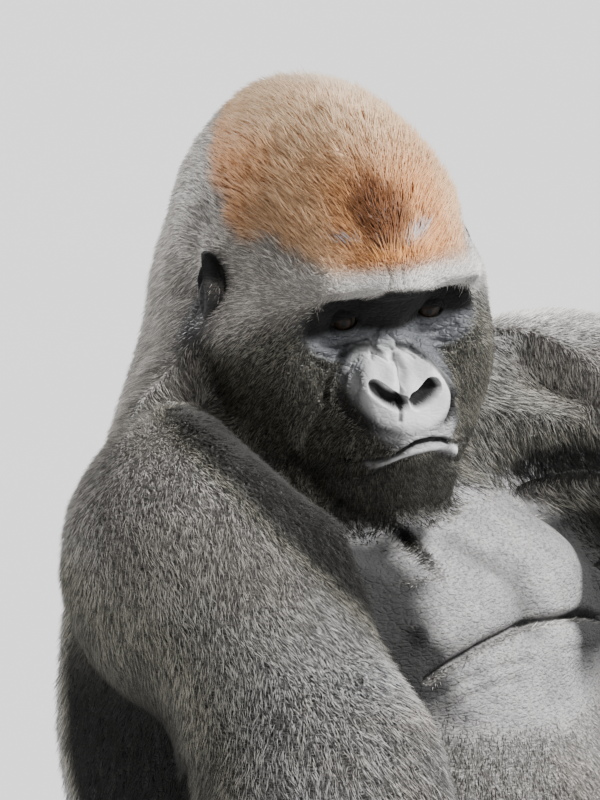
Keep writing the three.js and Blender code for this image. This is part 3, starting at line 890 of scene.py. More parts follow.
def cap_share(places, waves):
    """1 on the head's chestnut cap."""
    x, ahead, z = places.head.T
    over_edge = past_edge(ahead, z, CAP_EDGE) + waves * step(110, 90, ahead)
    over_edge -= CAP_RISE * step(52, 76, np.abs(x)) * step(20, 60, ahead)
    return step(-8, 9, over_edge)


def saddle_share(places, waves):
    """1 on the saddle, over the back from the hips to below the shoulders."""
    saddle = step(-20, 70, places.y + waves) * step(120, 260, places.up) * step(640, 560, places.up)
    return saddle * step(30, -20, past_edge(places.up, np.abs(places.across), SADDLE_HALF_WIDTH))


def frost_share(places, cap, waves):
    """Pale hair on the temples, the nape, the shoulders, the ridge between them and the belly."""
    ahead, z = places.head[:, 1], places.head[:, 2]
    up, parts = places.up, places.parts
    temple = parts["head"] * (1 - cap) * step(-20, 16, past_edge(ahead, z, TEMPLE_EDGE) + waves)
    nape = parts["neck"] * step(700, 780, up) * step(70, 10, places.across)
    ridge = places.on("neck", "shoulder") * step(660, 780, up) * step(-0.3, 0.4, places.normal[:, 1])
    belly = parts["trunk"] * step(-100, -140, places.y) * step(400, 500, up)
    shoulder = parts["shoulder"] * step(600, 700, up)
    temple *= 0.75 + 0.25 * step(-30, 30, ahead)
    return np.clip(temple + 0.4 * (nape + ridge + belly) + 0.25 * shoulder, 0, 1)


def dusk_and_shade_on_face_and_limbs(places):
    """Dusky hair on the cheeks, the forearms, the hands, the legs and the feet, and painted shade on the
    neck under the right cheek.
    """
    x, ahead, z = places.head.T
    parts = places.parts
    cheek = parts["head"] * step(20, -26, past_edge(ahead, z, TEMPLE_EDGE)) * step(-10, 40, ahead)
    # Painted shade on the neck under the right cheek, beside the shoulder.
    cheek += parts["neck"] * step(20, 60, ahead) * step(-55, -75, x)
    limbs = 0.6 * parts["arm"] * step(460, 330, places.up) + parts["hand"] + 0.55 * parts["leg"]
    return np.clip(cheek + limbs, 0, 1)


def dark_and_shaded_rear(places, saddle):
    """Dark hair with painted shade on the arms, the shoulders and the flanks where they are turned back
    from the light, outside the saddle; black painted shade on their rear.
    """
    y, up, beside = places.y, places.up, np.abs(places.across)
    outer = step(130, 230, beside)
    turned_back = step(-0.15, 0.5, places.normal[:, 1]) * (1 - saddle) * (1.5 - 1.1 * step(640, 740, up))
    turned_back *= places.on("arm", "shoulder", "trunk") * outer
    rear = places.on("arm", "shoulder") * outer * step(-210, -40, y)
    rear += places.parts["trunk"] * step(150, 190, beside) * step(-60, 0, y)
    return np.maximum(turned_back, NEARLY_BLACK * rear * step(800, 540, up))


def painted_jaw_shadow(places):
    """Painted shadow of the jaw on the right shoulder, black along the crease between them."""
    depth = places.co @ OUT_OF_CREASE / MM - CREASE_HEIGHT
    painted_shade = step(-48, -18, depth) * step(50, -10, places.y) * step(-100, -140, places.across)
    return NEARLY_BLACK * painted_shade * places.on("shoulder", "neck")


def painted_shade_in_hollows(places):
    """Painted shade, black: under the throat, on the chest beside it by the right arm, and in the left
    armpit.
    """
    across, y, up = places.across, places.y, places.up
    throat = places.parts["neck"] * step(-50, -75, y) * step(735, 700, up)
    by_arm = step(640, 675, up) * step(16, -16, past_edge(up, across, ARM_SHADE_EDGE))
    armpit = step(-8, 8, past_edge(up, across, ARMPIT_EDGE)) * step(0, -50, y)
    armpit *= step(685, 655, up) * step(530, 590, up)
    return 2 * np.clip(throat + places.parts["trunk"] * (by_arm + armpit), 0, 1)


def shaded_inner_sides(places):
    """Painted shade on the inner sides of the arms and under the chin; darker on the left side of the
    neck.
    """
    ahead, z = places.head[:, 1], places.head[:, 2]
    across, up = places.across, places.up
    to_middle = -np.sign(across) * places.normal[:, 0]
    arm = places.on("arm", "shoulder") * step(0.45, 0.9, to_middle) * step(690, 620, up)
    neck = 0.7 * places.parts["neck"] * step(20, 80, across) * step(20, -40, places.y)
    chin = 0.5 * places.parts["head"] * step(-88, -104, z) * step(20, 60, ahead)
    return np.clip(arm + neck + chin, 0, 1)


def coat_marks(places):
    """The coat's colours as shares: chestnut, silver, frost, and dusk with painted shade, which turns
    black from 1 to 2.
    """
    waves = wander(places.co, 0.02, 8)
    cap = cap_share(places, waves)
    saddle = saddle_share(places, waves)
    # Dusky hair, with painted shade on the rear, in the jaw's crease, in hollows and on inner sides.
    dusk_and_shade = dusk_and_shade_on_face_and_limbs(places) + np.maximum(dark_and_shaded_rear(places, saddle), painted_jaw_shadow(places))
    dusk_and_shade = np.minimum(dusk_and_shade + painted_shade_in_hollows(places) + shaded_inner_sides(places), 2)
    silver = saddle * np.clip(places.parts["trunk"] + 0.5 * places.parts["leg"], 0, 1)
    frost = frost_share(places, cap, waves) * (1 - FROST_LOST * np.clip(dusk_and_shade, 0, 1))
    return np.stack([places.parts["head"] * cap, silver, frost, dusk_and_shade], 1)


def over_band(x, z):
    """1 above the band of painted shadow under the brow, 0 in and below it."""
    return step(-2, 3, past_edge(x, z, BAND_TOP))


def cap_marks(places):
    """Inside the cap: its fringe, less than 0 in its dark patch, pale edges, scars; the pale brow,
    partly pale hair and partly painted light.
    """
    x, ahead, z = places.head.T
    head = places.parts["head"]
    waves = wander(places.co, 0.012, 5, 3.0)
    fringe = oval(x, z + waves * 0.3, *FRINGE, 0.5) * step(88, 100, ahead)
    dark_patch = oval(x + waves, z + waves, *DARK_PATCH, 0.6) * step(40, 70, ahead) * (1 - fringe)
    pale_sides = step(30, 60, np.abs(x) + waves) * step(26, 46, z) * step(10, 50, ahead)
    scars = sum(
        oval(x, z - slope * (x - middle[0]), middle, (half_length, SCAR_HALF_HEIGHT), 0.4)
        for middle, half_length, slope in SCARS
    )
    # The pale brow: pale hair with painted light, paler on the left side, which faces the lights.
    pale_and_lit_brow = over_band(x, z) * step(44, 38, z + waves * 0.5) * step(70, 95, ahead)
    pale_and_lit_brow *= 1 - 0.8 * step(34, 66, -x + waves)
    return head[:, None] * np.stack([
        np.where(dark_patch > fringe, -dark_patch, fringe),
        np.clip(step(88, 128, z + waves) + 0.6 * pale_sides, 0, 1),
        np.clip(scars, 0, 1) * step(80, 95, ahead),
        pale_and_lit_brow,
    ], 1)


def painted_shade_on_face(places):
    """Painted shade in the nostrils and in the folds of nose and mouth, and the brow's painted shadow in
    the band round the eyes.
    """
    x, _, z = places.head.T
    nose_x = x - NOSE_ASIDE
    # Painted shade in the nostrils and along the mouth, and below in the folds of the nose.
    dark = nostril_strength(places.head) + fold_strength(x - MOUTH_ASIDE, z, MOUTH_LINE, 2.1)
    for line, strength, width in ((WING_LINE, 0.8, 2.8), (DIP_LINE, 0.85, 2.6), (CLEFT_LINE, 0.8, 1.6)):
        dark += strength * fold_strength(nose_x, z, line, width)
    # Painted shade in the hollows beside the nose.
    dark += 0.75 * oval(np.abs(nose_x), z, (47, -66), (7, 26), 0.7)  # beside the nose
    # Painted shadow of the brow over the eyes, from the band's foot up to its top.
    dark += step(-4, 4, past_edge(x, z, BAND_FOOT)) * (1 - over_band(x, z)) * step(80, 66, np.abs(x))
    return np.clip(dark, 0, 1)


def painted_shade_on_chest(places):
    """Painted shade in the fold under the muscles and the groove between them, and painted shadow by the
    arms.
    """
    across, up = places.across, places.up
    dark = 0.85 * near_line(across, up, PECTORAL_FOLD, 2.4)
    dark += 0.35 * near_line(across, up - 9, PECTORAL_FOLD, 10) * step(60, -90, across)
    dark += 0.5 * near_line(across, up, GROOVE, 13) * step(690, 665, up)
    # Painted shade under the left muscle.
    dark += 0.5 * oval(across, up, (112, 616), (46, 22), 0.7)  # under the left muscle
    # Painted shadow of the chin on the chest by the right arm, and painted shade in the left armpit.
    by_right_arm = 0.95 * step(18, -14, past_edge(up, across, ARM_SHADE_EDGE))
    by_left_arm = step(-12, 12, past_edge(up, across, ARMPIT_EDGE)) * step(690, 650, up)
    dark += (by_right_arm + by_left_arm) * step(530, 590, up)
    return np.clip(dark, 0, 0.95) * step(-40, -80, places.y)


def hide_marks(places, bare):
    """The skin's colours as shares: bare skin, painted sheen that makes nose and lips pale, slate
    orbits, and painted shade in creases and hollows, with the ears nearly black.
    """
    x, ahead, z = places.head.T
    parts = places.parts
    front = step(60, 80, ahead) * parts["head"]
    nose_x, mouth_x = x - NOSE_ASIDE, x - MOUTH_ASIDE
    # Painted sheen on the nose pad, the bridge and the lips, as pale skin.
    pale = oval(nose_x, z, (3, -47), (35, 24), 0.16) + 0.5 * oval(nose_x, z, (0, -24), (18, 8), 0.6)
    pale += 1.1 * fold_strength(mouth_x, z, LIP, 2.9) * step(-30, -6, mouth_x)
    pale += 0.4 * oval(x, z, (8, -75), (32, 7), 0.5)  # the upper lip
    orbits = oval(x, z, (0, -8), (80, 34), 0.25)
    # Painted shade on the face and chest, and the ears nearly black.
    dark = painted_shade_on_face(places) * front + 0.95 * parts["ear"] + painted_shade_on_chest(places) * parts["trunk"]
    return np.stack([bare, np.clip(pale, 0, 1) * front, orbits * front, np.clip(dark, 0, 1)], 1)


def store(mesh, name, values):
    """Keeps a number, or four as a colour, at each point of a mesh for its material."""
    kind, key = ("FLOAT", "value") if values.ndim == 1 else ("FLOAT_COLOR", "color")
    attribute = mesh.attributes.new(name, kind, "POINT")
    attribute.data.foreach_set(key, np.ascontiguousarray(values, np.float32).ravel())


# --- Materials --------------------------------------------------------------------------------


class Value:
    """A node's output that Python's arithmetic works on: each operator adds one Math node."""

    def __init__(self, finish, socket):
        self.finish = finish
        self.socket = socket

    def maths(self, operation, *values):
        numbered = dict(enumerate(values))
        return self.finish.node("ShaderNodeMath", {"operation": operation}, numbered)[0]

    def __add__(self, other):
        return self.maths("ADD", self, other)

    def __sub__(self, other):
        return self.maths("SUBTRACT", self, other)

    def __rsub__(self, other):
        return self.maths("SUBTRACT", other, self)

    def __mul__(self, other):
        return self.maths("MULTIPLY", self, other)

    __radd__ = __add__
    __rmul__ = __mul__

    def rise(self, low, high):
        """0 below low, 1 above high and a smooth rise between; low may be above high."""
        settings = {"interpolation_type": "SMOOTHSTEP"}
        return self.finish.node("ShaderNodeMapRange", settings, {0: self, 1: low, 2: high})[0]


class Finish:
    """One material and its nodes."""

    def __init__(self, name):
        self.material = bpy.data.materials.new(name)
        self.material.use_nodes = True
        self.tree = self.material.node_tree
        self.shader = self.tree.nodes["Principled BSDF"]

    def node(self, kind, settings=None, sockets=None):
        """Adds a node, sets it up, fills its sockets with values or links, and returns its outputs."""
        node = self.tree.nodes.new(kind)
        for key, value in (settings or {}).items():
            setattr(node, key, value)
        for key, value in (sockets or {}).items():
            self.fill(node.inputs[key], value)
        return [Value(self, output) for output in node.outputs]

    def fill(self, socket, value):
        if isinstance(value, Value):
            self.tree.links.new(value.socket, socket)
        elif isinstance(value, tuple) and socket.type == "RGBA":
            socket.default_value = (*value, 1)
        else:
            socket.default_value = value

    def set(self, **sockets):
        """Fills the shader's own sockets, named with _ for a space."""
        for key, value in sockets.items():
            self.fill(self.shader.inputs[key.replace("_", " ")], value)
        return self

    def place(self):
        """Object coordinates."""
        return self.node("ShaderNodeTexCoord")[3]

    def number(self, name):
        """A number that is stored at each point."""
        return self.node("ShaderNodeAttribute", {"attribute_name": name})[2]

    def shares(self, name):
        """The four numbers of a colour attribute."""
        outputs = self.node("ShaderNodeAttribute", {"attribute_name": name})
        colour, alpha = outputs[0], outputs[3]
        return (*self.node("ShaderNodeSeparateColor", None, {0: colour}), alpha)

    def mix(self, share, under, over, blend="MIX"):
        """One colour over another by a share from 0 to 1."""
        settings = {"data_type": "RGBA", "blend_type": blend}
        return self.node("ShaderNodeMix", settings, {0: share, 6: under, 7: over})[2]

    def noise(self, scale, detail=2.0, roughness=0.5, where=None):
        sockets = {"Scale": scale, "Detail": detail, "Roughness": roughness}
        sockets["Vector"] = where or self.place()
        return self.node("ShaderNodeTexNoise", None, sockets)[0]

    def cells(self, scale, where=None):
        """How far inside small cells each place lies, as between fine wrinkles."""
        sockets = {"Vector": where or self.place(), "Scale": scale}
        return self.node("ShaderNodeTexVoronoi", {"feature": "DISTANCE_TO_EDGE"}, sockets)[0]

    def stretched(self, scale, turn=(0, 0, 0)):
        """Object coordinates, turned and scaled for a pattern that runs one way."""
        sockets = {"Vector": self.place(), "Scale": scale, "Rotation": turn}
        return self.node("ShaderNodeMapping", None, sockets)[0]

    def bump(self, height, depth, under=None):
        """A bump this many metres deep where height goes from 0 to 1."""
        sockets = {"Height": height, "Distance": depth, "Strength": 1.0}
        if under:
            sockets["Normal"] = under
        return self.node("ShaderNodeBump", None, sockets)[0]


# Linear colours.
DARK_HAIR = (0.022, 0.021, 0.020)
# Black for the darkest hair and for painted shade in the coat.
BLACK_HAIR_AND_SHADE = (0.006, 0.006, 0.005)
GREY_HAIR = (0.90, 0.89, 0.88)
WARM_GREY_HAIR = (0.88, 0.82, 0.75)
FROST_DARK = (0.24, 0.22, 0.20)
FROST_LIGHT = (1.0, 0.94, 0.87)
SILVER_DARK = (0.10, 0.10, 0.10)
SILVER_LIGHT = (0.60, 0.60, 0.59)
CHESTNUT_DARK = (0.36, 0.16, 0.07)
CHESTNUT_LIGHT = (1.0, 0.53, 0.23)
ORANGE_DARK = (0.22, 0.07, 0.02)
ORANGE_LIGHT = (1.0, 0.48, 0.13)
BROWN_LIGHT = (0.36, 0.15, 0.06)
BROWN_DARK = (0.07, 0.025, 0.01)
PALE_CAP_DARK = (0.66, 0.43, 0.27)
PALE_CAP_LIGHT = (1.0, 0.74, 0.47)
SCAR_DARK = (0.36, 0.30, 0.29)
SCAR_LIGHT = (0.74, 0.66, 0.64)
BROW_DARK = (0.34, 0.32, 0.30)
BROW_LIGHT = (0.95, 0.93, 0.90)
# Light tips of dusky hair, also under painted shade.
DUSK_AND_SHADE_LIGHT = (0.50, 0.48, 0.40)

HIDE = (0.045, 0.043, 0.043)
CHEST_HIDE = (0.40, 0.39, 0.385)
SLATE_HIDE = (0.125, 0.13, 0.14)
# Painted sheen on the nose and lips.
PAINTED_SHEEN_HIDE = (0.78, 0.78, 0.78)
# Painted shade in creases and hollows.
PAINTED_SHADE_COLOUR = (0.003, 0.003, 0.003)

PUPIL = (0.001, 0.001, 0.001)
IRIS_DARK = (0.008, 0.005, 0.003)
IRIS_LIGHT = (0.028, 0.016, 0.009)
IRIS_RIM = (0.005, 0.004, 0.003)
EYE_WHITE_DARK = (0.020, 0.016, 0.013)
EYE_WHITE_LIGHT = (0.045, 0.037, 0.030)
HORN_DARK = (0.018, 0.014, 0.011)
HORN_LIGHT = (0.055, 0.043, 0.034)

# In radians from the middle of the pupil: where each of these ends and what is round it begins.
PUPIL_EDGE = (0.19, 0.22)
IRIS_EDGE = (0.46, 0.56)
IRIS_RIM_EDGE = (0.6, 0.72)


def hair_colours(finish):
    """The dark and the light colour of the hair at each place, the same on skin and coat, with painted
    shade where dusk is high.
    """
    chestnut, silver, frost, dusk_and_shade = finish.shares("coat marks")
    fringe, pale, scars, brow = finish.shares("cap marks")
    dark_patch = fringe.rise(0.0, -0.9)
    dark = finish.mix(dusk_and_shade, DARK_HAIR, BLACK_HAIR_AND_SHADE)
    light = finish.mix(finish.noise(9, 3).rise(0.4, 0.7), GREY_HAIR, WARM_GREY_HAIR)
    light = finish.mix(dusk_and_shade, light, DUSK_AND_SHADE_LIGHT)
    # Painted shade: black where dusk runs from 1 to 2.
    light = finish.mix(dusk_and_shade.rise(1, 1.9), light, BLACK_HAIR_AND_SHADE)
    for share, darker, lighter in (
        (silver, SILVER_DARK, SILVER_LIGHT),
        (frost, FROST_DARK, FROST_LIGHT),
        (brow, BROW_DARK, BROW_LIGHT),
    ):
        dark = finish.mix(share, dark, darker)
        light = finish.mix(share, light, lighter)
    cap_dark = finish.mix(fringe, CHESTNUT_DARK, ORANGE_DARK)
    cap_dark = finish.mix(pale, cap_dark, PALE_CAP_DARK)
    cap_light = finish.mix(pale, CHESTNUT_LIGHT, PALE_CAP_LIGHT)
    cap_light = finish.mix(fringe, cap_light, ORANGE_LIGHT)
    for share, darker, lighter in (
        (dark_patch, BROWN_DARK, BROWN_LIGHT),
        (scars, SCAR_DARK, SCAR_LIGHT),
    ):
        cap_dark = finish.mix(share, cap_dark, darker)
        cap_light = finish.mix(share, cap_light, lighter)
    return finish.mix(chestnut, dark, cap_dark), finish.mix(chestnut, light, cap_light)


def skin_finish():
    """Grey leathery hide, pale with painted sheen on the nose and lips, slate round the eyes, with
    painted shade in creases and hollows, and dark under the coat.
    """
    finish = Finish("skin")
    bare, pale, slate, painted_shade = finish.shares("hide marks")
    dark, light = hair_colours(finish)
    height = finish.node("ShaderNodeSeparateXYZ", None, {0: finish.place()})[2]
    chest = height.rise(0.2, 0.42) * height.rise(0.78, 0.7)
    mottle = finish.noise(38, 4, 0.6)
    stubble = finish.noise(260, 3, 0.7, finish.stretched((1, 1, 3.2), (0, 0.25, 0)))
    hide = finish.mix(chest, HIDE, CHEST_HIDE)
    hide = finish.mix(chest * stubble.rise(0.56, 0.36) * 0.6, hide, HIDE)
    hide = finish.mix(slate, hide, SLATE_HIDE)
    # Painted sheen on the nose and lips.
    hide = finish.mix(pale, hide, PAINTED_SHEEN_HIDE)
    shade = finish.mix(mottle.rise(0.3, 0.65), (0.6, 0.6, 0.62), (1, 1, 1))
    hide = finish.mix(0.7, hide, shade, "MULTIPLY")
    # Painted shade in creases, hollows and under the brow.
    hide = finish.mix(painted_shade, hide, PAINTED_SHADE_COLOUR)
    under_coat = finish.mix(stubble.rise(0.45, 0.7) * 0.5, dark, light)
    wrinkles = finish.cells(150, where=finish.stretched((1, 1, 1.8)))
    grain = finish.cells(420) * 0.5 + finish.noise(700, 3) * 0.5
    smooth_nose = 1 - pale * 0.8
    bump = finish.bump(wrinkles.rise(0, 0.25) * smooth_nose, 0.0006)
    bump = finish.bump(grain * smooth_nose, 0.0005, bump)
    bump = finish.bump(stubble * chest, 0.0009, bump)
    finish.set(
        Base_Color=finish.mix(bare, under_coat, hide),
        Roughness=0.5 - pale * 0.08 + painted_shade * 0.4,
        Normal=bump,
        Specular_IOR_Level=0.4,
    )
    return finish.material


def coat_finish():
    """Hair: dark at the root and lighter to the tip, each tuft in its own tone."""
    finish = Finish("coat")
    dark, light = hair_colours(finish)
    tone = finish.number("tone")
    along = finish.number("along")
    chestnut = finish.shares("coat marks")[0]
    brow = finish.shares("cap marks")[3]
    even = 1 - (1 - chestnut) * (1 - brow)
    lightness = along.rise(0.0, 0.4) * (tone.rise(0.3, 0.85) * 0.8 + 0.2)
    lightness = lightness * (1 - even) + even * (tone * 0.5 + along * 0.3 + 0.2)
    finish.set(
        Base_Color=finish.mix(lightness, dark, light),
        Roughness=0.5 + 0.15 * tone,
        Specular_IOR_Level=0.35,
    )
    return finish.material


def eye_finish():
    """A dark brown eye: pupil, iris with fine spokes, dark edge and brownish white."""
    finish = Finish("eye")
    off_axis = finish.number("off axis")
    spokes = finish.noise(900, 2)
    iris = finish.mix(spokes, IRIS_DARK, IRIS_LIGHT)
    colour = finish.mix(off_axis.rise(*PUPIL_EDGE), PUPIL, iris)
    colour = finish.mix(off_axis.rise(*IRIS_EDGE), colour, IRIS_RIM)
    white = finish.mix(finish.noise(300, 2), EYE_WHITE_DARK, EYE_WHITE_LIGHT)
    colour = finish.mix(off_axis.rise(*IRIS_RIM_EDGE), colour, white)
    finish.set(
        Base_Color=colour,
        Roughness=0.45 + 0.1 * spokes,
        Specular_IOR_Level=0.12,
        Coat_Weight=0.12,
        Coat_Roughness=0.05,
    )
    return finish.material


def nail_finish():
    """Dark horn with fine lengthwise lines."""
    finish = Finish("nails")
    lines = finish.noise(500, 2, where=finish.stretched((1, 0.15, 0.15)))
    colour = finish.mix(lines.rise(0.3, 0.7), HORN_DARK, HORN_LIGHT)
    finish.set(Base_Color=colour, Roughness=0.3 + 0.15 * lines, Normal=finish.bump(lines, 0.0002))
    return finish.material


def mark_skin(piece):
    """Stores the markings on the skin and gives it its material."""
    surface = Surface(piece.data)
    places = Places.of_skin(surface)
    store(piece.data, "coat marks", coat_marks(places))
    store(piece.data, "cap marks", cap_marks(places))
    store(piece.data, "hide marks", hide_marks(places, bare_skin(surface)))
    piece.data.materials.clear()
    piece.data.materials.append(skin_finish())
    return surface, places


skin_surface, skin_places = mark_skin(skin)

# --- Eyes and nails ---------------------------------------------------------------------------

GAZE = Vector((-0.2, -1.0, -0.02))  # in the head
CORNEA = (0.62, 1.1)  # half angle in radians and millimetres proud
EYE_ROOM = 0.2 * MM  # by which the eyeball is smaller than the solid eye
NAIL_SWELL = 0.4 * MM  # since rounding makes the nails smaller


def eye(side):
    """An eyeball with its cornea standing a little proud, in the place of the solid one."""
    gaze = (head_turn @ GAZE).normalized()
    bm = bmesh.new()
    bmesh.ops.create_uvsphere(bm, u_segments=48, v_segments=32, radius=eye_radius - EYE_ROOM)
    off_axis = []
    for vert in bm.verts:
        angle = vert.co.angle(gaze)
        bulge = max(0, 1 - (angle / CORNEA[0]) ** 2)
        vert.co *= 1 + CORNEA[1] * MM / eye_radius * bulge
        vert.co += eye_middle[side]
        off_axis.append(angle)
    piece = new_piece(f"eyeball_{side}", bm)
    store(piece.data, "off axis", np.array(off_axis))
    piece.data.materials.append(eye_material)
    piece.data.shade_smooth()
    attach(piece, "root")
    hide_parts(f"eye_{side}")


def nails(digit, side):
    """The nails of one hand or foot, rounded from their solids."""
    nodes = [f"{digit}nail_{side}_{number}" for number in range(1, 6)]
    bm = bmesh.new()
    for node in nodes:
        solid = swollen(node, NAIL_SWELL)
        bm.from_mesh(solid)
        bpy.data.meshes.remove(solid)
    piece = new_piece(f"{digit}nails_{side}", bm)
    rounding = piece.modifiers.new("rounded", "SUBSURF")
    rounding.levels = rounding.render_levels = 2
    piece.data.materials.append(nail_material)
    piece.data.shade_smooth()
    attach(piece, "root")
    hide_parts(*nodes)


eye_material = eye_finish()
nail_material = nail_finish()
for side in SIDES:
    eye(side)
    nails("finger", side)
    nails("toe", side)

# --- The coat ---------------------------------------------------------------------------------


def lie_on_head(surface):
    """Back and to the sides from the brow over the cap, and down the cheeks."""
    x, ahead, z = surface.head.T
    aside = np.sign(x) * step(0, 30, np.abs(x))
    high = step(-5, 30, z)
    return np.stack([
        aside * (0.55 - 0.2 * step(60, 110, z)) * high + 0.2 * aside * (1 - high),
        high + (1 - high) * 0.45,
        high * (0.55 - step(0, 110, -ahead)) - (1 - high),
    ], 1) @ head_axes.T


def lie_of_coat(surface):
    """The way that the hair lies, as unit vectors along the skin."""
    lie = surface.on("head")[:, None] * lie_on_head(surface)
    lie += surface.on("neck", "rump", "belly", "ear")[:, None] * np.array((0, 0.12, -1.0))
    ones = np.ones(len(lie))
    chest = np.stack([0.35 * np.sign(surface.across), 0.1 * ones, -ones], 1)
    lie += surface.on("chest")[:, None] * chest
    for side in SIDES:
        limbs = {
            "shoulder": direction(SHOULDER[side], ELBOW[side]) + Vector((0, 0, -0.3)),
            "upper_arm": direction(SHOULDER[side], ELBOW[side]) + Vector((0, 0, -0.3)),
            "forearm": direction(WRIST[side], ELBOW[side]) + Vector((0, 0, -0.9)),
            "hand": HAND_AIM[side].normalized(),
            "thigh": direction(HIP[side], KNEE[side]) + Vector((0, 0, -0.4)),
            "shin": direction(KNEE[side], ANKLE[side]) + Vector((0, 0.1, -0.2)),
            "foot": Vector((0.3 * SIDES[side], -1, -0.2)),
        }
        for name, way in limbs.items():
            lie += surface.on(name, side=side)[:, None] * np.array(way)
    lie = surface.spread(lie, 10)
    lie -= surface.normal * np.sum(lie * surface.normal, 1, keepdims=True)
    return unit(lie)


def length_share(surface):
    """The hair's length as a share of COAT's: more on the cap, less on the face and the belly."""
    ahead, z = surface.head[:, 1], surface.head[:, 2]
    face = step(40, 90, ahead) * step(60, 46, z)
    brow = step(80, 100, ahead) * step(14, 26, z) * step(50, 44, z)
    cap = step(0, 15, past_edge(ahead, z, CAP_EDGE))
    share = 1 + surface.on("head") * (0.7 * cap - 0.4 * face - 0.2 * brow)
    share -= 0.5 * thin_belly(surface) + 0.5 * round_ear(surface, 0, (25, 38))
    return surface.spread(share, 3)


def thin_belly(surface):
    """1 on the belly below the bare chest, where the hair is thin and short."""
    front = step(-40, -90, surface.y) * surface.on("belly", "chest")
    return front * oval(surface.across, surface.up, (0, 560), (230, 150), 0.35)


COAT_PIECES = {
    "coat_head": (("head",), None),
    "coat_neck": (("neck",), None),
    "coat_chest": (("chest",), None),
    "coat_belly": (("belly",), None),
    "coat_rump": (("rump",), None),
    "coat_shoulder_right": (("shoulder",), "right"),
    "coat_shoulder_left": (("shoulder",), "left"),
    "coat_arm_right": (("upper_arm", "forearm", "hand"), "right"),
    "coat_arm_left": (("upper_arm", "forearm", "hand"), "left"),
    "coat_leg_right": (("thigh", "shin", "foot"), "right"),
    "coat_leg_left": (("thigh", "shin", "foot"), "left"),
}
LEAST_COVER = 0.02  # triangles of the skin that are covered less than this have no roots
SQUARE_CM = 1e4  # in a square metre
TURN_SPREAD = 0.16  # radians
LIFT_SPREAD = 0.22  # share
LENGTH_RANGE = (0.7, 1.25)
WIDTH_RANGE = (0.7, 1.2)
TONE_SPREAD = (0.75, 0.85)  # many tufts are nearly dark or nearly light
MOST_TUFTS = 62_000  # in one piece: each has three faces
ROOT_BLOCK = 0.02  # roots are dealt out over blocks of this many metres, one after another
TUFT_PATCH = 0.003  # a tuft's size on the coat's own map
TUFT_FACES = np.array([(0, 1, 3), (1, 2, 3), (2, 0, 3)])  # round its root, with its tip last
ROOT_DEPTH = 0.6 * MM
FLOOR_GAP = 0.5 * MM  # between the floor and the tips


def unwrapped(mesh, corners):
    """An unwrap of some of the skin's triangles: the three corners of each, on a square of side 1."""
    used, renumbered = np.unique(corners, return_inverse=True)
    bm = bmesh.new()
    verts = [bm.verts.new(point) for point in points(mesh)[used].tolist()]
    for triangle in renumbered.reshape(-1, 3).tolist():
        bm.faces.new([verts[i] for i in triangle])
    piece = new_piece("unwrap", bm)
    piece.data.uv_layers.new(name="flat")
    bpy.context.view_layer.objects.active = piece
    piece.select_set(True)
    bpy.ops.object.mode_set(mode="EDIT")
    bpy.ops.mesh.select_all(action="SELECT")
    bpy.ops.uv.smart_project(angle_limit=math.radians(66), island_margin=0.004)
    bpy.ops.object.mode_set(mode="OBJECT")
    flat = np.empty(len(piece.data.loops) * 2, np.float32)
    piece.data.uv_layers["flat"].data.foreach_get("uv", flat)
    bpy.data.objects.remove(piece)
    return flat.reshape(-1, 3, 2).astype(float)


def spread_out(mesh, corners, density, most, chance):
    """Roots scattered evenly by density: the triangle of each, and its weights for the corners."""
    co = points(mesh)[corners]
    area = np.linalg.norm(np.cross(co[:, 1] - co[:, 0], co[:, 2] - co[:, 0]), axis=1) / 2
    wanted = area * density[corners].mean(1) * SQUARE_CM
    total = int(min(wanted.sum(), most))
    order = np.lexsort(((co.mean(1) / ROOT_BLOCK).astype(int)).T)
    levels = (np.arange(total) + chance.random(total)) / total * wanted.sum()
    chosen = order[np.minimum(np.searchsorted(np.cumsum(wanted[order]), levels), len(order) - 1)]
    a, b = chance.random((2, total))
    a, b = np.where(a + b > 1, 1 - a, a), np.where(a + b > 1, 1 - b, b)
    return chosen, np.stack([1 - a - b, a, b], 1)


class Roots:
    """Where the tufts of one piece stand: in which triangles of the skin, and where in each."""

    def __init__(self, nodes, side, maps, chance):
        inside = skin_surface.on(*nodes, side=side)[skin_triangles].mean(1) > 0.5
        covered = maps["cover"][skin_triangles].mean(1) > LEAST_COVER
        self.triangles = skin_triangles[inside & covered]
        most = MOST_TUFTS * 1
        density = maps["density"] * maps["cover"]
        self.chosen, self.weights = spread_out(skin.data, self.triangles, density, most, chance)

    def at(self, values):
        """A map over the skin's points, at the roots."""
        return self.blend(values.reshape(len(values), -1)[self.triangles[self.chosen]])

    def blend(self, at_corners):
        """Values at the corners of each root's triangle, at the root."""
        return np.einsum("nc,nck->nk", self.weights, at_corners)


def tuft_points(roots, maps, chance):
    """The four points of each tuft: three round its root and one at its tip."""
    root = roots.at(skin_surface.co)
    out = unit(roots.at(skin_surface.normal))
    lie = roots.at(maps["lie"])
    each = (len(root), 1)
    clump = wander(root, 0.011, 0.5) + wander(root, 0.05, 0.45, 5.0)
    turn = clump[:, None] + chance.normal(0, TURN_SPREAD, each)
    lie = unit(lie * np.cos(turn) + np.cross(out, lie) * np.sin(turn))
    lift = np.radians(roots.at(maps["lift"])) * (1 + chance.normal(0, LIFT_SPREAD, each))
    lift += wander(root, 0.009, 0.16, 9.0)[:, None]
    length = roots.at(maps["length"]) * MM * chance.uniform(*LENGTH_RANGE, each)
    width = roots.at(maps["width"]) * MM * chance.uniform(*WIDTH_RANGE, each)
    tip = root + (lie * np.cos(lift) + out * np.sin(lift)) * length
    tip[:, 2] = np.maximum(tip[:, 2], FLOOR_GAP)
    foot = root - out * ROOT_DEPTH
    half = unit(np.cross(out, lie)) * width / 2
    co = np.stack([foot - half, foot + out * width / 2, foot + half, tip], 1)
    co[:, :, 2] = np.maximum(co[:, :, 2], 0)
    return co.reshape(-1, 3)


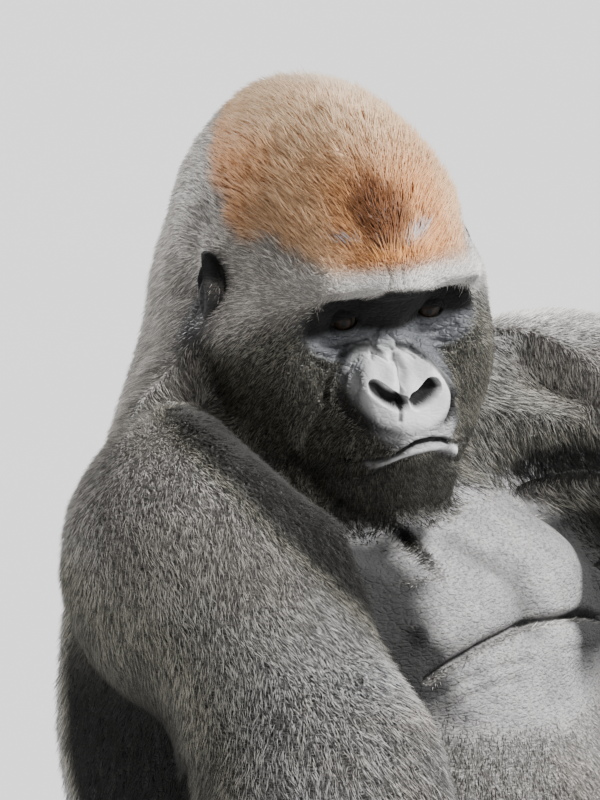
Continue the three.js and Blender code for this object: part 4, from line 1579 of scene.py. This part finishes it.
def tuft_patches(roots):
    """For each tuft a small patch at its root's place on the unwrapped skin, a strip for each face."""
    middle = roots.blend(unwrapped(skin.data, roots.triangles)[roots.chosen])
    strips = np.array([[(k, 0), (k + 1, 0), (k + 0.5, 3)] for k in range(3)]) * TUFT_PATCH / 3
    return middle[:, None, None, :] + strips[None] - TUFT_PATCH / 2


def tufts(name, nodes, side, maps, chance):
    """One piece of the coat: a joined mesh of thin tufts, each a three-sided spike along the body."""
    roots = Roots(nodes, side, maps, chance)
    count = len(roots.chosen)
    faces = (np.arange(count)[:, None, None] * 4 + TUFT_FACES).reshape(-1, 3)
    piece = piece_of_triangles(name, tuft_points(roots, maps, chance), faces)
    mesh = piece.data
    patches = tuft_patches(roots).astype(np.float32)
    mesh.uv_layers.new(name="OFBake").data.foreach_set("uv", patches.ravel())
    parts = {part: roots.at(values)[:, 0] for part, values in skin_places.parts.items()}
    places = Places(roots.at(skin_surface.co), unit(roots.at(skin_surface.normal)), parts)
    tone = chance.beta(*TONE_SPREAD, count) + wander(places.co, 0.03, 0.22, 7.0)
    store(mesh, "tone", np.repeat(np.clip(tone, 0, 1), 4))
    store(mesh, "along", np.tile((0.0, 0.0, 0.0, 1.0), count))
    store(mesh, "coat marks", np.repeat(coat_marks(places), 4, axis=0))
    store(mesh, "cap marks", np.repeat(cap_marks(places), 4, axis=0))
    mesh.materials.append(coat_material)
    mesh.shade_smooth()
    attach(piece, "root")


def piece_of_triangles(name, co, faces):
    """An object from arrays of points and triangles."""
    mesh = bpy.data.meshes.new(name)
    mesh.vertices.add(len(co))
    mesh.vertices.foreach_set("co", co.astype(np.float32).ravel())
    mesh.loops.add(faces.size)
    mesh.loops.foreach_set("vertex_index", faces.astype(np.int32).ravel())
    mesh.polygons.add(len(faces))
    mesh.polygons.foreach_set("loop_start", np.arange(0, faces.size, 3, dtype=np.int32))
    mesh.update()
    piece = bpy.data.objects.new(name, mesh)
    bpy.context.scene.collection.objects.link(piece)
    return piece


def coat():
    """All the pieces of the coat."""
    surface = skin_surface
    share = length_share(surface)
    maps = {
        "cover": np.clip(1 - surface.spread(bare_skin(surface), 1), 0, 1),
        "density": coat_map(surface, DENSITY) / share,
        "length": coat_map(surface, LENGTH) * share,
        "width": coat_map(surface, WIDTH) * (0.5 + 0.5 * share),
        "lift": coat_map(surface, LIFT),
        "lie": lie_of_coat(surface),
    }
    chance = np.random.default_rng(SEED)
    for name, (nodes, side) in COAT_PIECES.items():
        tufts(name, nodes, side, maps, chance)


skin_triangles = triangle_corners(skin.data)
coat_material = coat_finish()
coat()
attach(skin, "root")
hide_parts(*FLESH)

# --- Camera, lights and floor -----------------------------------------------------------------

CAMERA_AZIMUTH = math.radians(-55)
CAMERA_HEIGHT_ANGLE = math.radians(10)
CAMERA_DISTANCE = 4.5
CAMERA_LENS = 274.4  # millimetres, on a sensor 36 mm long
FACE_ASIDE = 0.0605  # metres from the middle of the picture to the eyes' middle
FACE_ABOVE = 0.0649
FLOOR_HALF = 40
FLOOR_COLOURS = ((0.62, 0.62, 0.62), (0.64, 0.64, 0.64))
STUDIO_COLOUR = (0.8, 0.8, 0.8, 1)
STUDIO_STRENGTH = 0.36

# For each light: the way to it, its strength and its softness in degrees.
LIGHTS = {
    "key": ((0.176, -0.633, 0.754), 7.1, 12),
    "rim behind": ((0.45, 0.75, 0.48), 2.4, 20),
    "rim beside": ((0.83, -0.15, 0.42), 1.6, 20),
}


def camera():
    """Far off with a long lens, a little above the face and to its side."""
    right = Vector((math.cos(CAMERA_AZIMUTH), math.sin(CAMERA_AZIMUTH), 0))
    away = Vector((math.sin(CAMERA_AZIMUTH), -math.cos(CAMERA_AZIMUTH), 0))
    back = away * math.cos(CAMERA_HEIGHT_ANGLE) + Vector((0, 0, math.sin(CAMERA_HEIGHT_ANGLE)))
    up = back.cross(right)
    face = (eye_middle["left"] + eye_middle["right"]) / 2
    place = face + back * CAMERA_DISTANCE - right * FACE_ASIDE - up * FACE_ABOVE
    data = bpy.data.cameras.new("camera")
    data.lens = CAMERA_LENS
    obj = bpy.data.objects.new("camera", data)
    bpy.context.scene.collection.objects.link(obj)
    obj.matrix_world = Matrix.Translation(place) @ Matrix((right, up, back)).transposed().to_4x4()
    bpy.context.scene.camera = obj


def soft_light(name, towards, strength, softness):
    """Light from far off in one direction, with edges of shadow as soft as this many degrees."""
    data = bpy.data.lights.new(name, "SUN")
    data.energy = strength
    data.angle = math.radians(softness)
    obj = bpy.data.objects.new(name, data)
    bpy.context.scene.collection.objects.link(obj)
    obj.matrix_world = Vector(towards).to_track_quat("Z", "Y").to_matrix().to_4x4()


def floor():
    """A plain pale floor that fills the picture."""
    finish = Finish("floor")
    finish.set(Base_Color=finish.mix(finish.noise(2), *FLOOR_COLOURS), Roughness=0.9)
    bm = bmesh.new()
    bmesh.ops.create_grid(bm, x_segments=8, y_segments=8, size=FLOOR_HALF)
    obj = new_piece("floor", bm)
    obj.data.materials.append(finish.material)


def studio():
    """Even grey light from all round."""
    world = bpy.data.worlds.new("studio")
    bpy.context.scene.world = world
    world.use_nodes = True
    background = world.node_tree.nodes["Background"]
    background.inputs["Color"].default_value = STUDIO_COLOUR
    background.inputs["Strength"].default_value = STUDIO_STRENGTH


camera()
floor()
for light, (towards, strength, softness) in LIGHTS.items():
    soft_light(light, towards, strength, softness)
studio()
